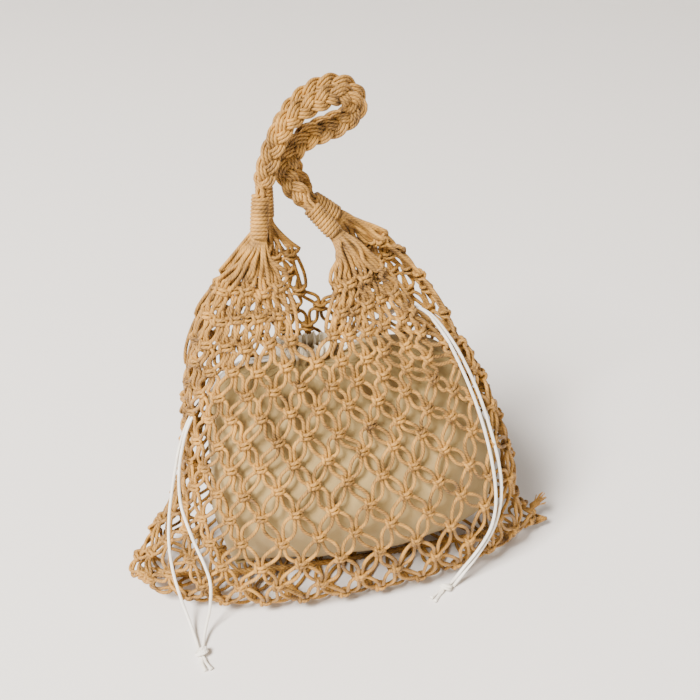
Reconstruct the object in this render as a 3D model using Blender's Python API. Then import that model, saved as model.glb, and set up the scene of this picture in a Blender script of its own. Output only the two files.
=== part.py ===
"""Knotted net shoulder bag with plaited handles and a drawstring pouch inside.

Metres, +Z up. The bag stands on its base at z = 0 with the bottom seam along X, its front
towards -Y and its left side, as the viewer has it, towards -X.
"""
from math import cos, pi, sin

import bmesh
import bpy
import numpy as np
from mathutils import Vector

# Net body
BODY_WIDTH = 0.440  # corner to corner along the bottom seam
BODY_DEPTH = 0.152  # front bulge to back bulge
BODY_HEIGHT = 0.378  # floor to the lower end of the left collars
COLUMNS = 12  # columns of knots on a panel
NET_CORD = 0.0045  # thickness of the net
PAIR_HALF = 0.0038  # half the width of a pair of cords between two knots
KNOT_HALF = 0.0072  # half the width of a knot
FLOOR_PRESS = 0.0006  # net that hangs lower than this is pressed flat on the floor

# Ears, collars and handles
BUNDLE_WIDTH = 0.0088  # square bundle that a gathered ear ends in
BUNDLE_SHARE = 0.44  # share of a collar's length that the bundle fills
COLLAR_BORE = 0.0068
COLLAR_SIDES = 10
COLLAR_CORD = 0.0022  # wall of a collar: one turn of its cord
COLLAR_TURN = 0.0042  # height of one turn
FIT_GAP = 0.0003
HANDLE_REACH = 0.088  # how far a handle's loop hangs to the right of its left collar
HANDLE_RISE = 0.074  # how far it rises above the left collar
PLAIT_STRAND = 0.0048  # radius of one of the three strands
PLAIT_HALF_WIDTH = 0.0060  # how far a strand swings sideways
PLAIT_HALF_DEPTH = 0.0022  # how far it swings forwards and back
PLAIT_CYCLE = 0.052  # length of one full plait cycle
PLAIT_LEAD = 0.002  # straight run out of a collar before the plait widens
PLAIT_TAPER = 0.016  # length over which the plait narrows into its collar
HANDLE_STATIONS = 54
HANDLE_SIDES = 10

# Pouch
POUCH_WIDTH = 0.300
POUCH_DEPTH = 0.126
POUCH_HEIGHT = 0.285
POUCH_CLOTH = 0.0012
POUCH_SIDES = 32
RUFFLE = 0.0020  # how far the ruffles swing in and out

# Drawstrings
STRING = 0.0030  # diameter
STRING_POINTS = 18
KNOT_SIDES = 8

# Rows of the net from the bottom seam (row 0) up to where the panels part into ears (row 10).
# x as shares of BODY_WIDTH, y of BODY_DEPTH, z of BODY_HEIGHT.
SECTIONS = (
    # row, x_left, x_right, y_left, z_left, y_right, z_right, y_front, z_front, y_back, z_back
    (0, -0.464, 0.532, 0.145, 0.079, 0.099, 0.037, 0.000, 0.006, 0.000, 0.006),
    (1, -0.468, 0.498, 0.164, 0.066, 0.072, 0.061, -0.217, 0.006, 0.237, 0.006),
    (2, -0.457, 0.459, 0.197, 0.069, 0.053, 0.095, -0.382, 0.045, 0.408, 0.032),
    (3, -0.434, 0.425, 0.250, 0.098, 0.033, 0.201, -0.447, 0.124, 0.500, 0.101),
    (4, -0.398, 0.407, 0.303, 0.143, 0.000, 0.307, -0.467, 0.204, 0.553, 0.180),
    (6, -0.345, 0.361, 0.336, 0.249, -0.053, 0.458, -0.421, 0.354, 0.566, 0.333),
    (8, -0.325, 0.316, 0.329, 0.386, -0.046, 0.587, -0.316, 0.481, 0.539, 0.471),
    (10, -0.311, 0.275, 0.316, 0.537, 0.007, 0.675, -0.237, 0.606, 0.500, 0.603),
)
SIDE_ROUNDNESS = 2.4
SIDE_RISE = 2.2

# Each ear: the ends of its collar's axis, how high its outer and inner cords rise before they
# turn to the collar, how far the outer ones lean aside and back on the way, how far they run
# along the collar's line, and how wide they fan out.
# x as shares of BODY_WIDTH, y of BODY_DEPTH, z, lifts and lead of BODY_HEIGHT.
EARS = {
    # name: low_x, low_y, low_z, top_x, top_y, top_z, lift_out, lift_in, lean_x, lean_y, lead, fan
    "front_left": (-0.143, 0.092, 1.000, -0.132, 0.158, 1.095, 0.350, 0.185, 0.000, -0.170, 0.074, 0.40),
    "front_right": (0.009, 0.092, 0.990, -0.036, 0.180, 1.048, 0.075, 0.160, -0.085, -0.100, 0.069, 0.15),
    "back_left": (-0.116, 0.340, 1.000, -0.116, 0.350, 1.090, 0.340, 0.185, 0.000, 0.150, 0.074, 0.38),
    "back_right": (0.030, 0.330, 0.992, -0.023, 0.342, 1.040, 0.210, 0.185, 0.000, 0.150, 0.026, 0.45),
}
SPLIT_ROW = 10  # the sides are open above this row
DIP_ROW = 12  # and the middle of each panel above this one
COLLAR_ROW = 17

# The lattice has half as many rows and columns as the real net. Its levels count pairs of rows;
# this table gives the row that each level has at a panel's sides and at its middle.
LEVEL_ROWS = (
    # level, row_at_side, row_at_middle
    (0, 0.0, 0.0),
    (4, 10.0, 8.0),
    (6, 13.4, 12.0),
    (7, 15.0, 14.3),
    (8, 16.2, 16.0),
)
LATTICE_COLUMNS = COLUMNS // 2
SPLIT_LEVEL = 4
DIP_LEVEL = 6

# Routes of the handles' middles, from the left collar to the right one: reach as a share of
# HANDLE_REACH, back as a share of BODY_DEPTH and rise as a share of HANDLE_RISE, all measured
# from the left collar's top.
HANDLE_ROUTES = {
    "front": (
        # reach, back, rise
        (0.05, 0.006, 0.19),
        (0.12, 0.020, 0.44),
        (0.23, 0.039, 0.69),
        (0.38, 0.066, 0.84),
        (0.57, 0.092, 0.93),
        (0.75, 0.118, 0.99),
        (0.89, 0.138, 0.95),
        (0.96, 0.151, 0.84),
        (0.94, 0.158, 0.71),
        (0.85, 0.158, 0.62),
        (0.71, 0.151, 0.56),
        (0.56, 0.138, 0.52),
        (0.43, 0.125, 0.45),
        (0.33, 0.112, 0.32),
        (0.27, 0.092, 0.18),
        (0.30, 0.072, 0.03),
        (0.38, 0.053, -0.09),
    ),
    "back": (
        # reach, back, rise
        (0.03, 0.012, 0.05),
        (0.12, 0.038, 0.34),
        (0.23, 0.064, 0.62),
        (0.38, 0.091, 0.83),
        (0.54, 0.111, 0.95),
        (0.71, 0.130, 1.00),
        (0.87, 0.143, 0.96),
        (0.97, 0.150, 0.85),
        (1.01, 0.150, 0.71),
        (0.94, 0.143, 0.63),
        (0.80, 0.130, 0.57),
        (0.64, 0.111, 0.52),
        (0.49, 0.091, 0.47),
        (0.38, 0.071, 0.39),
        (0.31, 0.051, 0.26),
        (0.30, 0.038, 0.11),
        (0.35, 0.025, -0.04),
        (0.44, 0.012, -0.18),
    ),
}

# Pouch from its bottom hem up through the shoulders and the drawn neck to the ruffle.
# x as shares of POUCH_WIDTH, y of POUCH_DEPTH, z of POUCH_HEIGHT, ruffle as a share of RUFFLE.
POUCH_SECTIONS = (
    # x_left, x_right, z_left, z_middle, z_right, y_left, y_right, y_front, y_back, ruffle
    (-0.347, 0.547, 0.085, 0.029, 0.126, -0.020, 0.110, 0.125, 0.185, 0.0),
    (-0.367, 0.553, 0.130, 0.085, 0.170, 0.020, 0.100, -0.110, 0.290, 0.0),
    (-0.387, 0.550, 0.210, 0.190, 0.270, 0.080, 0.060, -0.310, 0.420, 0.0),
    (-0.405, 0.545, 0.330, 0.330, 0.400, 0.140, 0.040, -0.460, 0.500, 0.0),
    (-0.407, 0.500, 0.480, 0.480, 0.580, 0.200, 0.030, -0.450, 0.550, 0.0),
    (-0.403, 0.430, 0.620, 0.630, 0.740, 0.235, 0.030, -0.325, 0.540, 0.0),
    (-0.375, 0.365, 0.760, 0.760, 0.850, 0.250, 0.080, -0.230, 0.480, 0.3),
    (-0.300, 0.250, 0.845, 0.840, 0.900, 0.210, 0.110, -0.100, 0.370, 0.8),
    (-0.170, -0.005, 0.885, 0.880, 0.885, 0.120, 0.110, 0.020, 0.200, 1.0),
    (-0.157, -0.020, 0.900, 0.898, 0.900, 0.120, 0.110, 0.030, 0.185, 0.6),
    (-0.168, -0.005, 0.925, 0.922, 0.925, 0.120, 0.110, 0.000, 0.210, 1.3),
    (-0.175, 0.000, 0.955, 0.950, 0.955, 0.120, 0.110, -0.030, 0.235, 1.8),
)

# Routes of the drawstrings in metres, from the pouch's neck to the knots on the floor.
STRING_ROUTES = {
    "left_a": (
        (-0.0563, 0.0184, 0.2545), (-0.0826, 0.0232, 0.2505), (-0.1037, 0.0260, 0.2359),
        (-0.1212, 0.0255, 0.2151), (-0.1370, 0.0222, 0.1931), (-0.1477, 0.0185, 0.1685),
        (-0.1549, 0.0157, 0.1419), (-0.1612, 0.0131, 0.1149), (-0.1666, 0.0080, 0.0888),
        (-0.1698, -0.0050, 0.0662), (-0.1690, -0.0234, 0.0464), (-0.1647, -0.0393, 0.0254),
        (-0.1609, -0.0495, 0.0127), (-0.1582, -0.0593, 0.0064), (-0.1540, -0.0840, 0.0016),
    ),
    "left_b": (
        (-0.0563, 0.0140, 0.2545), (-0.0828, 0.0186, 0.2505), (-0.1048, 0.0205, 0.2362),
        (-0.1228, 0.0190, 0.2156), (-0.1375, 0.0156, 0.1929), (-0.1465, 0.0127, 0.1673),
        (-0.1521, 0.0096, 0.1402), (-0.1539, 0.0041, 0.1142), (-0.1530, -0.0017, 0.1033),
        (-0.1463, -0.0240, 0.0841), (-0.1386, -0.0427, 0.0668), (-0.1357, -0.0509, 0.0519),
        (-0.1393, -0.0582, 0.0233), (-0.1430, -0.0625, 0.0133), (-0.1454, -0.0671, 0.0083),
        (-0.1503, -0.0840, 0.0016),
    ),
    "right_a": (
        (0.0056, 0.0162, 0.2550), (0.0275, 0.0146, 0.2719), (0.0490, 0.0134, 0.2882),
        (0.0620, 0.0118, 0.2948), (0.0705, 0.0097, 0.2965), (0.0785, 0.0066, 0.2956),
        (0.0893, 0.0004, 0.2897), (0.1063, -0.0133, 0.2673), (0.1180, -0.0230, 0.2442),
        (0.1279, -0.0313, 0.2195), (0.1361, -0.0380, 0.1938), (0.1435, -0.0427, 0.1674),
        (0.1500, -0.0456, 0.1406), (0.1538, -0.0481, 0.1133), (0.1533, -0.0504, 0.0860),
        (0.1468, -0.0526, 0.0598), (0.1338, -0.0554, 0.0361), (0.1171, -0.0590, 0.0143),
        (0.1066, -0.0614, 0.0016),
    ),
    "right_b": (
        (0.0056, 0.0118, 0.2550), (0.0274, 0.0100, 0.2717), (0.0481, 0.0090, 0.2888),
        (0.0603, 0.0077, 0.2963), (0.0683, 0.0058, 0.2986), (0.0758, 0.0030, 0.2982),
        (0.0827, -0.0007, 0.2951), (0.0988, -0.0140, 0.2739), (0.1098, -0.0239, 0.2507),
        (0.1195, -0.0323, 0.2261), (0.1280, -0.0391, 0.2006), (0.1352, -0.0445, 0.1743),
        (0.1412, -0.0488, 0.1475), (0.1456, -0.0519, 0.1203), (0.1473, -0.0539, 0.0930),
        (0.1433, -0.0556, 0.0667), (0.1316, -0.0572, 0.0429), (0.1163, -0.0579, 0.0201),
        (0.1044, -0.0579, 0.0016),
    ),
}
# Knots on the drawstrings' ends: where the strands enter, and the direction that the tail takes.
STRING_KNOTS = {
    # name: enter_x, enter_y, tail_x, tail_y
    "left": (-0.1521, -0.0848, 0.07, -1.00),
    "right": (0.1035, -0.0606, -0.90, -0.45),
}
KNOT_LENGTH = 0.026
KNOT_RADIUS = 0.0056
KNOT_PROFILE = (
    # along as a share of KNOT_LENGTH, radius as a share of KNOT_RADIUS
    (0.00, 0.62),
    (0.10, 0.92),
    (0.26, 1.00),
    (0.40, 0.86),
    (0.50, 0.46),
    (0.62, 0.38),
    (0.86, 0.38),
    (1.00, 0.50),
)

# Tuft of cut cord ends at the net's right bottom corner
TUFT_ROW = 1.0  # row of the net, at its right side, that it grows from
TUFT_HEAD = 0.0042
TUFT_LOCK = 0.014
TUFT_OUT = (0.80, 0.10, 0.60)

CORD_TAN = (0.56, 0.36, 0.17, 1.0)
COTTON_BEIGE = (0.72, 0.62, 0.46, 1.0)
STRING_WHITE = (0.86, 0.84, 0.78, 1.0)


def table_row(table, at, first=1):
    """One row of a table, read between its rows at the value of its first column."""
    rows = np.array(table, float)
    return [float(np.interp(at, rows[:, 0], rows[:, c])) for c in range(first, rows.shape[1])]


def unit(v):
    return v / np.linalg.norm(v)


def along(points, share):
    """The point at a share of a polyline's length."""
    steps = np.linalg.norm(np.diff(points, axis=0), axis=1)
    reached = np.concatenate([[0.0], np.cumsum(steps)])
    return np.array([np.interp(share * reached[-1], reached, points[:, c]) for c in range(3)])


def smooth_route(points, count):
    """Evenly spaced points on a centripetal Catmull-Rom curve through the given ones."""
    p = [np.array(q, float) for q in points]
    p = [2 * p[0] - p[1]] + p + [2 * p[-1] - p[-2]]
    fine = []
    for k in range(1, len(p) - 2):
        times = [0.0]
        for m in range(3):
            times.append(times[-1] + np.linalg.norm(p[k + m] - p[k + m - 1]) ** 0.5)
        t0, t1, t2, t3 = times
        for t in np.linspace(t1, t2, 9)[:-1]:
            a1 = (t1 - t) / (t1 - t0) * p[k - 1] + (t - t0) / (t1 - t0) * p[k]
            a2 = (t2 - t) / (t2 - t1) * p[k] + (t - t1) / (t2 - t1) * p[k + 1]
            a3 = (t3 - t) / (t3 - t2) * p[k + 1] + (t - t2) / (t3 - t2) * p[k + 2]
            b1 = (t2 - t) / (t2 - t0) * a1 + (t - t0) / (t2 - t0) * a2
            b2 = (t3 - t) / (t3 - t1) * a2 + (t - t1) / (t3 - t1) * a3
            fine.append((t2 - t) / (t2 - t1) * b1 + (t - t1) / (t2 - t1) * b2)
    fine = np.array(fine + [p[-2]])
    return np.array([along(fine, share) for share in np.linspace(0, 1, count)])


def body_point(side, column, row):
    """A point of the net below the ears, at a column from left to right and a row from the seam up."""
    share = table_row(SECTIONS, row)
    xl, xr = share[0] * BODY_WIDTH, share[1] * BODY_WIDTH
    yl, zl = share[2] * BODY_DEPTH, share[3] * BODY_HEIGHT
    yr, zr = share[4] * BODY_DEPTH, share[5] * BODY_HEIGHT
    middle = 6 if side == "front" else 8
    yc, zc = share[middle] * BODY_DEPTH, share[middle + 1] * BODY_HEIGHT
    s = np.sin(np.linspace(-pi / 2, pi / 2, 61))
    w = np.abs(s)
    y_side = np.where(s < 0, yl, yr)
    z_side = np.where(s < 0, zl, zr)
    bulge = (1 - w ** SIDE_ROUNDNESS) ** (1 / SIDE_ROUNDNESS)
    x = (xl + xr) / 2 + s * (xr - xl) / 2
    y = y_side + (yc - y_side) * bulge
    z = zc + (z_side - zc) * w ** SIDE_RISE
    return along(np.stack([x, y, z], -1), column / COLUMNS)


def collar_ends(ear):
    """The lower and upper end of a collar's axis."""
    size = np.array([BODY_WIDTH, BODY_DEPTH, BODY_HEIGHT])
    return np.array(EARS[ear][0:3]) * size, np.array(EARS[ear][3:6]) * size


def ear_point(ear, column, row):
    """A point of an ear, from the row where the panels part up into the collar."""
    low, top = collar_ends(ear)
    lift_out, lift_in, lean_x, lean_y, lead, fan = EARS[ear][6:12]
    axis = unit(top - low)
    across = unit(np.array([1.0, 0.0, 0.0]) - axis * axis[0])
    half = COLUMNS / 2
    left = ear.endswith("left")
    outwards = (half - column) / half if left else (column - half) / half
    local = (column - half / 2) if left else (column - 1.5 * half)
    end = low + across * local / half * BUNDLE_WIDTH
    if row >= COLLAR_ROW:
        return end + axis * (row - COLLAR_ROW) * BUNDLE_SHARE * np.linalg.norm(top - low)
    side = ear.split("_")[0]
    start = body_point(side, column, SPLIT_ROW)
    up = unit(start - body_point(side, column, SPLIT_ROW - 1))
    first = start + up * (lift_in + (lift_out - lift_in) * outwards) * BODY_HEIGHT
    first[0] += lean_x * outwards * BODY_WIDTH
    first[1] += lean_y * outwards * BODY_DEPTH
    second = end - axis * lead * BODY_HEIGHT
    second[0] += fan * (start[0] - end[0])
    t = np.linspace(0, 1, 25)[:, None]
    curve = ((1 - t) ** 3 * start + 3 * (1 - t) ** 2 * t * first
             + 3 * (1 - t) * t ** 2 * second + t ** 3 * end)
    return along(curve, (row - SPLIT_ROW) / (COLLAR_ROW - SPLIT_ROW))


def net_point(side, hand, column, row):
    """A point of the net's middle surface anywhere, hand telling the ears apart at the middle column."""
    if row <= SPLIT_ROW:
        return body_point(side, column, row)
    middle = COLUMNS / 2
    if column == middle and row <= DIP_ROW:
        both = [ear_point(f"{side}_{h}", column, row) for h in ("left", "right")]
        return (both[0] + both[1]) / 2
    if column != middle:
        hand = "left" if column < middle else "right"
    return ear_point(f"{side}_{hand}", column, row)


def level_row(column, level):
    """The real net's row for a level of the lattice."""
    at_side, at_middle = table_row(LEVEL_ROWS, level)
    middle = COLUMNS / 2
    return at_middle + (at_side - at_middle) * (abs(column - middle) / middle) ** 2


class Lattice:
    """Vertices of the net's middle surface, shared where panels and cells meet."""

    def __init__(self):
        self.mesh = bmesh.new()
        self.weight = self.mesh.verts.layers.deform.verify()
        self.shared = {}

    def vertex(self, side, hand, across, level):
        """The vertex at a lattice column and level."""
        if level == 0 or (across in (0, LATTICE_COLUMNS) and level <= SPLIT_LEVEL):
            side = "front"
        if across != LATTICE_COLUMNS / 2 or level <= DIP_LEVEL:
            hand = ""
        key = (side, hand, across, level)
        if key not in self.shared:
            column = 2 * across
            row = level_row(column, level) if level <= LEVEL_ROWS[-1][0] else level
            self.shared[key] = self.add(net_point(side, hand, column, row), row)
        return self.shared[key]

    def add(self, point, row):
        vert = self.mesh.verts.new(Vector(point))
        full = LEVEL_ROWS[-2][2]
        grown = min(max((row - full) / (COLLAR_ROW - full), 0.0), 1.0)
        thickness = NET_CORD + (BUNDLE_WIDTH - NET_CORD) * grown
        vert[self.weight][0] = thickness / BUNDLE_WIDTH
        return vert

    def cell(self, outer, reaches):
        """A ring of faces round one gap: outer vertices and how far the cord reaches into the gap."""
        points = [v.co.copy() for v in outer]
        centre = sum(points, Vector()) / len(points)
        inner = []
        for vert, point, reach in zip(outer, points, reaches):
            to_centre = centre - point
            step = min(reach, 0.55 * to_centre.length)
            new = self.mesh.verts.new(point + to_centre.normalized() * step)
            new[self.weight][0] = vert[self.weight][0]
            inner.append(new)
        for k in range(len(outer)):
            m = (k + 1) % len(outer)
            self.mesh.faces.new((outer[k], outer[m], inner[m], inner[k]))


def half_diamond(across, level, turn, left):
    """Lattice places up one side of a diamond cell, from its bottom to its top corner."""
    step = -1 if left else 1
    places = [(across, level - 1, KNOT_HALF), (across + 0.25 * step, level - 0.5, PAIR_HALF),
              (across + 0.5 * step, level, KNOT_HALF), (across + 0.25 * step, level + 0.5, PAIR_HALF),
              (across, level + 1, KNOT_HALF)]
    return places[::turn]


def panel_cells(lattice, side):
    """All gaps that lie wholly on one panel."""
    facing = 1 if side == "front" else -1

    def ring(places, hand=""):
        verts = [lattice.vertex(side, hand, a, level) for a, level, reach in places]
        lattice.cell(verts[::facing], [reach for a, level, reach in places][::facing])

    def diamond(across, level, hand=""):
        right_up = half_diamond(across, level, 1, left=False)
        left_down = half_diamond(across, level, -1, left=True)
        ring(right_up + left_down[1:-1], hand)

    last = LATTICE_COLUMNS
    middle = last // 2
    for a in range(last):
        ring([(a, 0, KNOT_HALF), (a + 0.5, 0, PAIR_HALF), (a + 1, 0, KNOT_HALF), (a + 0.75, 0.5, PAIR_HALF),
              (a + 0.5, 1, KNOT_HALF), (a + 0.25, 0.5, PAIR_HALF)])
        for level in (2, 4, 6):
            diamond(a + 0.5, level, "left" if a < middle else "right")
    for a in range(1, last):
        for level in (1, 3, 5):
            diamond(a, level)
        if a != middle:
            diamond(a, 7)
    for level in (5, 7):
        ring(half_diamond(0, level, 1, left=False) + [(0, level, PAIR_HALF)])
        ring([(last, level, PAIR_HALF)] + half_diamond(last, level, -1, left=True)[::1])
    ring([(middle, 7, PAIR_HALF)] + half_diamond(middle, 7, -1, left=True), "left")
    ring(half_diamond(middle, 7, 1, left=False) + [(middle, 7, PAIR_HALF)], "right")


def side_cells(lattice):
    """The gaps that wrap round the two sides, half on each panel."""
    for across, left_panel in ((0, "back"), (LATTICE_COLUMNS, "front")):
        right_panel = "front" if left_panel == "back" else "back"
        inward_left = across != 0
        for level in (1, 3):
            right_up = half_diamond(across, level, 1, left=right_panel == "back")
            left_down = half_diamond(across, level, -1, left=inward_left)
            verts = [lattice.vertex(right_panel, "", a, up) for a, up, reach in right_up]
            verts += [lattice.vertex(left_panel, "", a, up) for a, up, reach in left_down[1:-1]]
            lattice.cell(verts, [place[2] for place in right_up + left_down[1:-1]])


def ear_fans(lattice, side):
    """The close cords above the last gaps, drawn together into the collars."""
    facing = 1 if side == "front" else -1
    middle = LATTICE_COLUMNS // 2
    for hand, first in (("left", 0), ("right", middle)):
        steps = [first + k / 4 for k in range(4 * middle + 1)]
        zigzag = [8 - 2 * min(abs(a - round(a)), 0.5) for a in steps]
        lower = [lattice.vertex(side, hand, a, level) for a, level in zip(steps, zigzag)]
        for row in (16.6, COLLAR_ROW, COLLAR_ROW + 1):
            upper = [lattice.add(net_point(side, hand, 2 * a, row), row) for a in steps]
            for k in range(len(steps) - 1):
                lattice.mesh.faces.new((lower[k], lower[k + 1], upper[k + 1], upper[k])[::facing])
            lower = upper


def material(name, color, roughness):
    made = bpy.data.materials.new(name)
    made.use_nodes = True
    shader = made.node_tree.nodes["Principled BSDF"]
    shader.inputs["Base Color"].default_value = color
    shader.inputs["Roughness"].default_value = roughness
    shader.inputs["Metallic"].default_value = 0.0
    return made


def add_object(name, mesh, finish):
    obj = bpy.data.objects.new(name, mesh)
    obj.data.materials.append(finish)
    bpy.context.collection.objects.link(obj)
    return obj


def mesh_from(name, shape):
    """A mesh from a bmesh, with its faces turned outwards."""
    bmesh.ops.recalc_face_normals(shape, faces=shape.faces)
    mesh = bpy.data.meshes.new(name)
    shape.to_mesh(mesh)
    shape.free()
    mesh.shade_smooth()
    return mesh


def evaluated_copy(obj, name):
    """A mesh of an object with its modifiers applied."""
    bpy.context.view_layer.update()
    seen = obj.evaluated_get(bpy.context.evaluated_depsgraph_get())
    return bpy.data.meshes.new_from_object(seen)


def build_net(finish):
    lattice = Lattice()
    for side in ("front", "back"):
        panel_cells(lattice, side)
        ear_fans(lattice, side)
    side_cells(lattice)
    mesh = bpy.data.meshes.new("net_body")
    lattice.mesh.to_mesh(mesh)
    lattice.mesh.free()
    net = add_object("net_body", mesh, finish)
    net.vertex_groups.new(name="thickness")
    wall = net.modifiers.new("Cord", "SOLIDIFY")
    wall.thickness = BUNDLE_WIDTH
    wall.offset = 0.0
    wall.vertex_group = "thickness"
    solid = evaluated_copy(net, "net_body")
    net.modifiers.clear()
    net.data = solid
    for vert in solid.vertices:
        if vert.co.z < FLOOR_PRESS:
            vert.co.z = 0.0
    solid.shade_smooth()
    return net


def loft(shape, rings):
    """Faces between equal rings of vertices, with both ends closed."""
    count = len(rings[0])
    for lower, upper in zip(rings, rings[1:]):
        for k in range(count):
            m = (k + 1) % count
            shape.faces.new((lower[k], lower[m], upper[m], upper[k]))
    shape.faces.new(rings[0][::-1])
    shape.faces.new(rings[-1])


def axis_frame(axis):
    side = unit(np.cross(axis, np.array([0.0, 1.0, 0.0])))
    return side, np.cross(axis, side)


def build_collar(ear, finish):
    """A collar of round turns side by side, hollow for the bundle and the handle's end."""
    low, top = collar_ends(ear)
    axis = unit(top - low)
    side, back = axis_frame(axis)
    length = np.linalg.norm(top - low)
    turns = max(2, round(length / COLLAR_TURN))
    profile = [(0.0, COLLAR_BORE), (0.0, COLLAR_BORE + 0.4 * COLLAR_CORD)]
    for k in range(turns):
        middle = (k + 0.5) / turns * length
        profile.append((middle, COLLAR_BORE + COLLAR_CORD))
        if k < turns - 1:
            profile.append(((k + 1) / turns * length, COLLAR_BORE + 0.6 * COLLAR_CORD))
    profile += [(length, COLLAR_BORE + 0.4 * COLLAR_CORD), (length, COLLAR_BORE)]
    shape = bmesh.new()
    rings = []
    for k in range(COLLAR_SIDES):
        turn = 2 * pi * k / COLLAR_SIDES
        out = side * cos(turn) + back * sin(turn)
        rings.append([shape.verts.new(Vector(low + axis * h + out * r)) for h, r in profile])
    for k in range(COLLAR_SIDES):
        here, there = rings[k], rings[(k + 1) % COLLAR_SIDES]
        for m in range(len(profile)):
            n = (m + 1) % len(profile)
            shape.faces.new((here[m], here[n], there[n], there[m]))
    return add_object(f"wrap_{ear}", mesh_from(f"wrap_{ear}", shape), finish)


def handle_route(side):
    """The middle line of a handle, from inside its left collar to inside its right one."""
    left_low, left_top = collar_ends(f"{side}_left")
    right_low, right_top = collar_ends(f"{side}_right")
    size = np.array([HANDLE_REACH, BODY_DEPTH, HANDLE_RISE])
    left_start = left_low + (left_top - left_low) * BUNDLE_SHARE + unit(left_top - left_low) * FIT_GAP
    right_start = right_low + (right_top - right_low) * BUNDLE_SHARE + unit(right_top - right_low) * FIT_GAP
    free = [left_top + np.array(row) * size for row in HANDLE_ROUTES[side]]
    left = [left_start, (left_start + left_top) / 2, left_top + unit(left_top - left_low) * PLAIT_LEAD]
    right = [right_top + unit(right_top - right_low) * PLAIT_LEAD, (right_top + right_start) / 2, right_start]
    return smooth_route(left + free + right, HANDLE_STATIONS)


def plait_radius(turn, phase):
    """How far the plait's outline lies from its middle in one direction of a section."""
    out = np.array([cos(turn), sin(turn)])
    far = 0.0
    for k in range(3):
        swing = phase + 2 * pi * k / 3
        centre = np.array([PLAIT_HALF_WIDTH * sin(swing), PLAIT_HALF_DEPTH * sin(2 * swing)])
        reach = centre @ out
        aside = centre @ centre - reach ** 2
        if aside < PLAIT_STRAND ** 2:
            far = max(far, reach + (PLAIT_STRAND ** 2 - aside) ** 0.5)
    return far


def build_handle(side, finish):
    """A plaited handle as one lofted bundle whose outline swells where a strand comes to the edge."""
    route = handle_route(side)
    steps = np.linalg.norm(np.diff(route, axis=0), axis=1)
    reached = np.concatenate([[0.0], np.cumsum(steps)])
    collar = [np.linalg.norm(np.subtract(*collar_ends(f"{side}_{hand}"))) * (1 - BUNDLE_SHARE)
              for hand in ("left", "right")]
    lead = PLAIT_LEAD + reached[1]
    bundle = COLLAR_BORE * cos(pi / COLLAR_SIDES) - 2 * FIT_GAP
    shape = bmesh.new()
    rings = []
    for k, point in enumerate(route):
        tangent = unit(route[min(k + 1, len(route) - 1)] - route[max(k - 1, 0)])
        facing = np.array([0.0, -1.0, 0.35])
        facing = unit(facing - tangent * (facing @ tangent))
        width = np.cross(tangent, facing)
        from_collar = min(reached[k] - collar[0], reached[-1] - reached[k] - collar[1]) - lead
        open_share = min(max(from_collar / PLAIT_TAPER, 0.0), 1.0)
        phase = 2 * pi * reached[k] / PLAIT_CYCLE
        ring = []
        for m in range(HANDLE_SIDES):
            turn = 2 * pi * m / HANDLE_SIDES
            radius = bundle + (plait_radius(turn, phase) - bundle) * open_share
            ring.append(shape.verts.new(Vector(point + (width * cos(turn) + facing * sin(turn)) * radius)))
        rings.append(ring)
    loft(shape, rings)
    return add_object(f"handle_{side}", mesh_from(f"handle_{side}", shape), finish)


def pouch_ring(row, sides):
    """One level section of the pouch as a closed ring of points."""
    xl, xr, zl, zm, zr, yl, yr, yf, yb, ruffle = row
    ring = []
    for k in range(sides):
        turn = 2 * pi * k / sides
        s, c = cos(turn), sin(turn)
        x = ((xl + xr) / 2 + s * (xr - xl) / 2) * POUCH_WIDTH
        y_side = yl + (yr - yl) * (s + 1) / 2
        y_middle = yb if c > 0 else yf
        y = (y_side + (y_middle - y_side) * abs(c) ** 0.85) * POUCH_DEPTH
        z_side = zl if s < 0 else zr
        z = (zm + (z_side - zm) * abs(s) ** 2) * POUCH_HEIGHT
        fold = RUFFLE * ruffle * (1 if k % 2 else -1)
        out = unit(np.array([s * POUCH_DEPTH, c * POUCH_DEPTH, 0.0]))
        ring.append(np.array([x, y, z]) + out * fold)
    return ring


def build_pouch(finish):
    shape = bmesh.new()
    rings = [[shape.verts.new(Vector(p)) for p in pouch_ring(row, POUCH_SIDES)] for row in POUCH_SECTIONS]
    for lower, upper in zip(rings, rings[1:]):
        for k in range(POUCH_SIDES):
            m = (k + 1) % POUCH_SIDES
            shape.faces.new((lower[k], lower[m], upper[m], upper[k]))
    half = POUCH_SIDES // 2
    hem = rings[0]
    for k in range(half):
        far_a, far_b = hem[-k % POUCH_SIDES], hem[-k - 1]
        corners = []
        for vert in (hem[k], far_a, far_b, hem[k + 1]):
            if vert not in corners:
                corners.append(vert)
        shape.faces.new(corners)
    pouch = add_object("pouch", mesh_from("pouch", shape), finish)
    cloth = pouch.modifiers.new("Cloth", "SOLIDIFY")
    cloth.thickness = POUCH_CLOTH
    cloth.offset = -1.0
    return pouch


def build_string(name, finish):
    curve = bpy.data.curves.new(f"drawstring_{name}", "CURVE")
    curve.dimensions = "3D"
    curve.bevel_depth = STRING / 2
    curve.bevel_resolution = 2
    curve.use_fill_caps = True
    spline = curve.splines.new("POLY")
    route = smooth_route(STRING_ROUTES[name], STRING_POINTS)
    spline.points.add(len(route) - 1)
    for point, place in zip(spline.points, route):
        point.co = (*place, 1.0)
    return add_object(f"drawstring_{name}", curve, finish)


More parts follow.
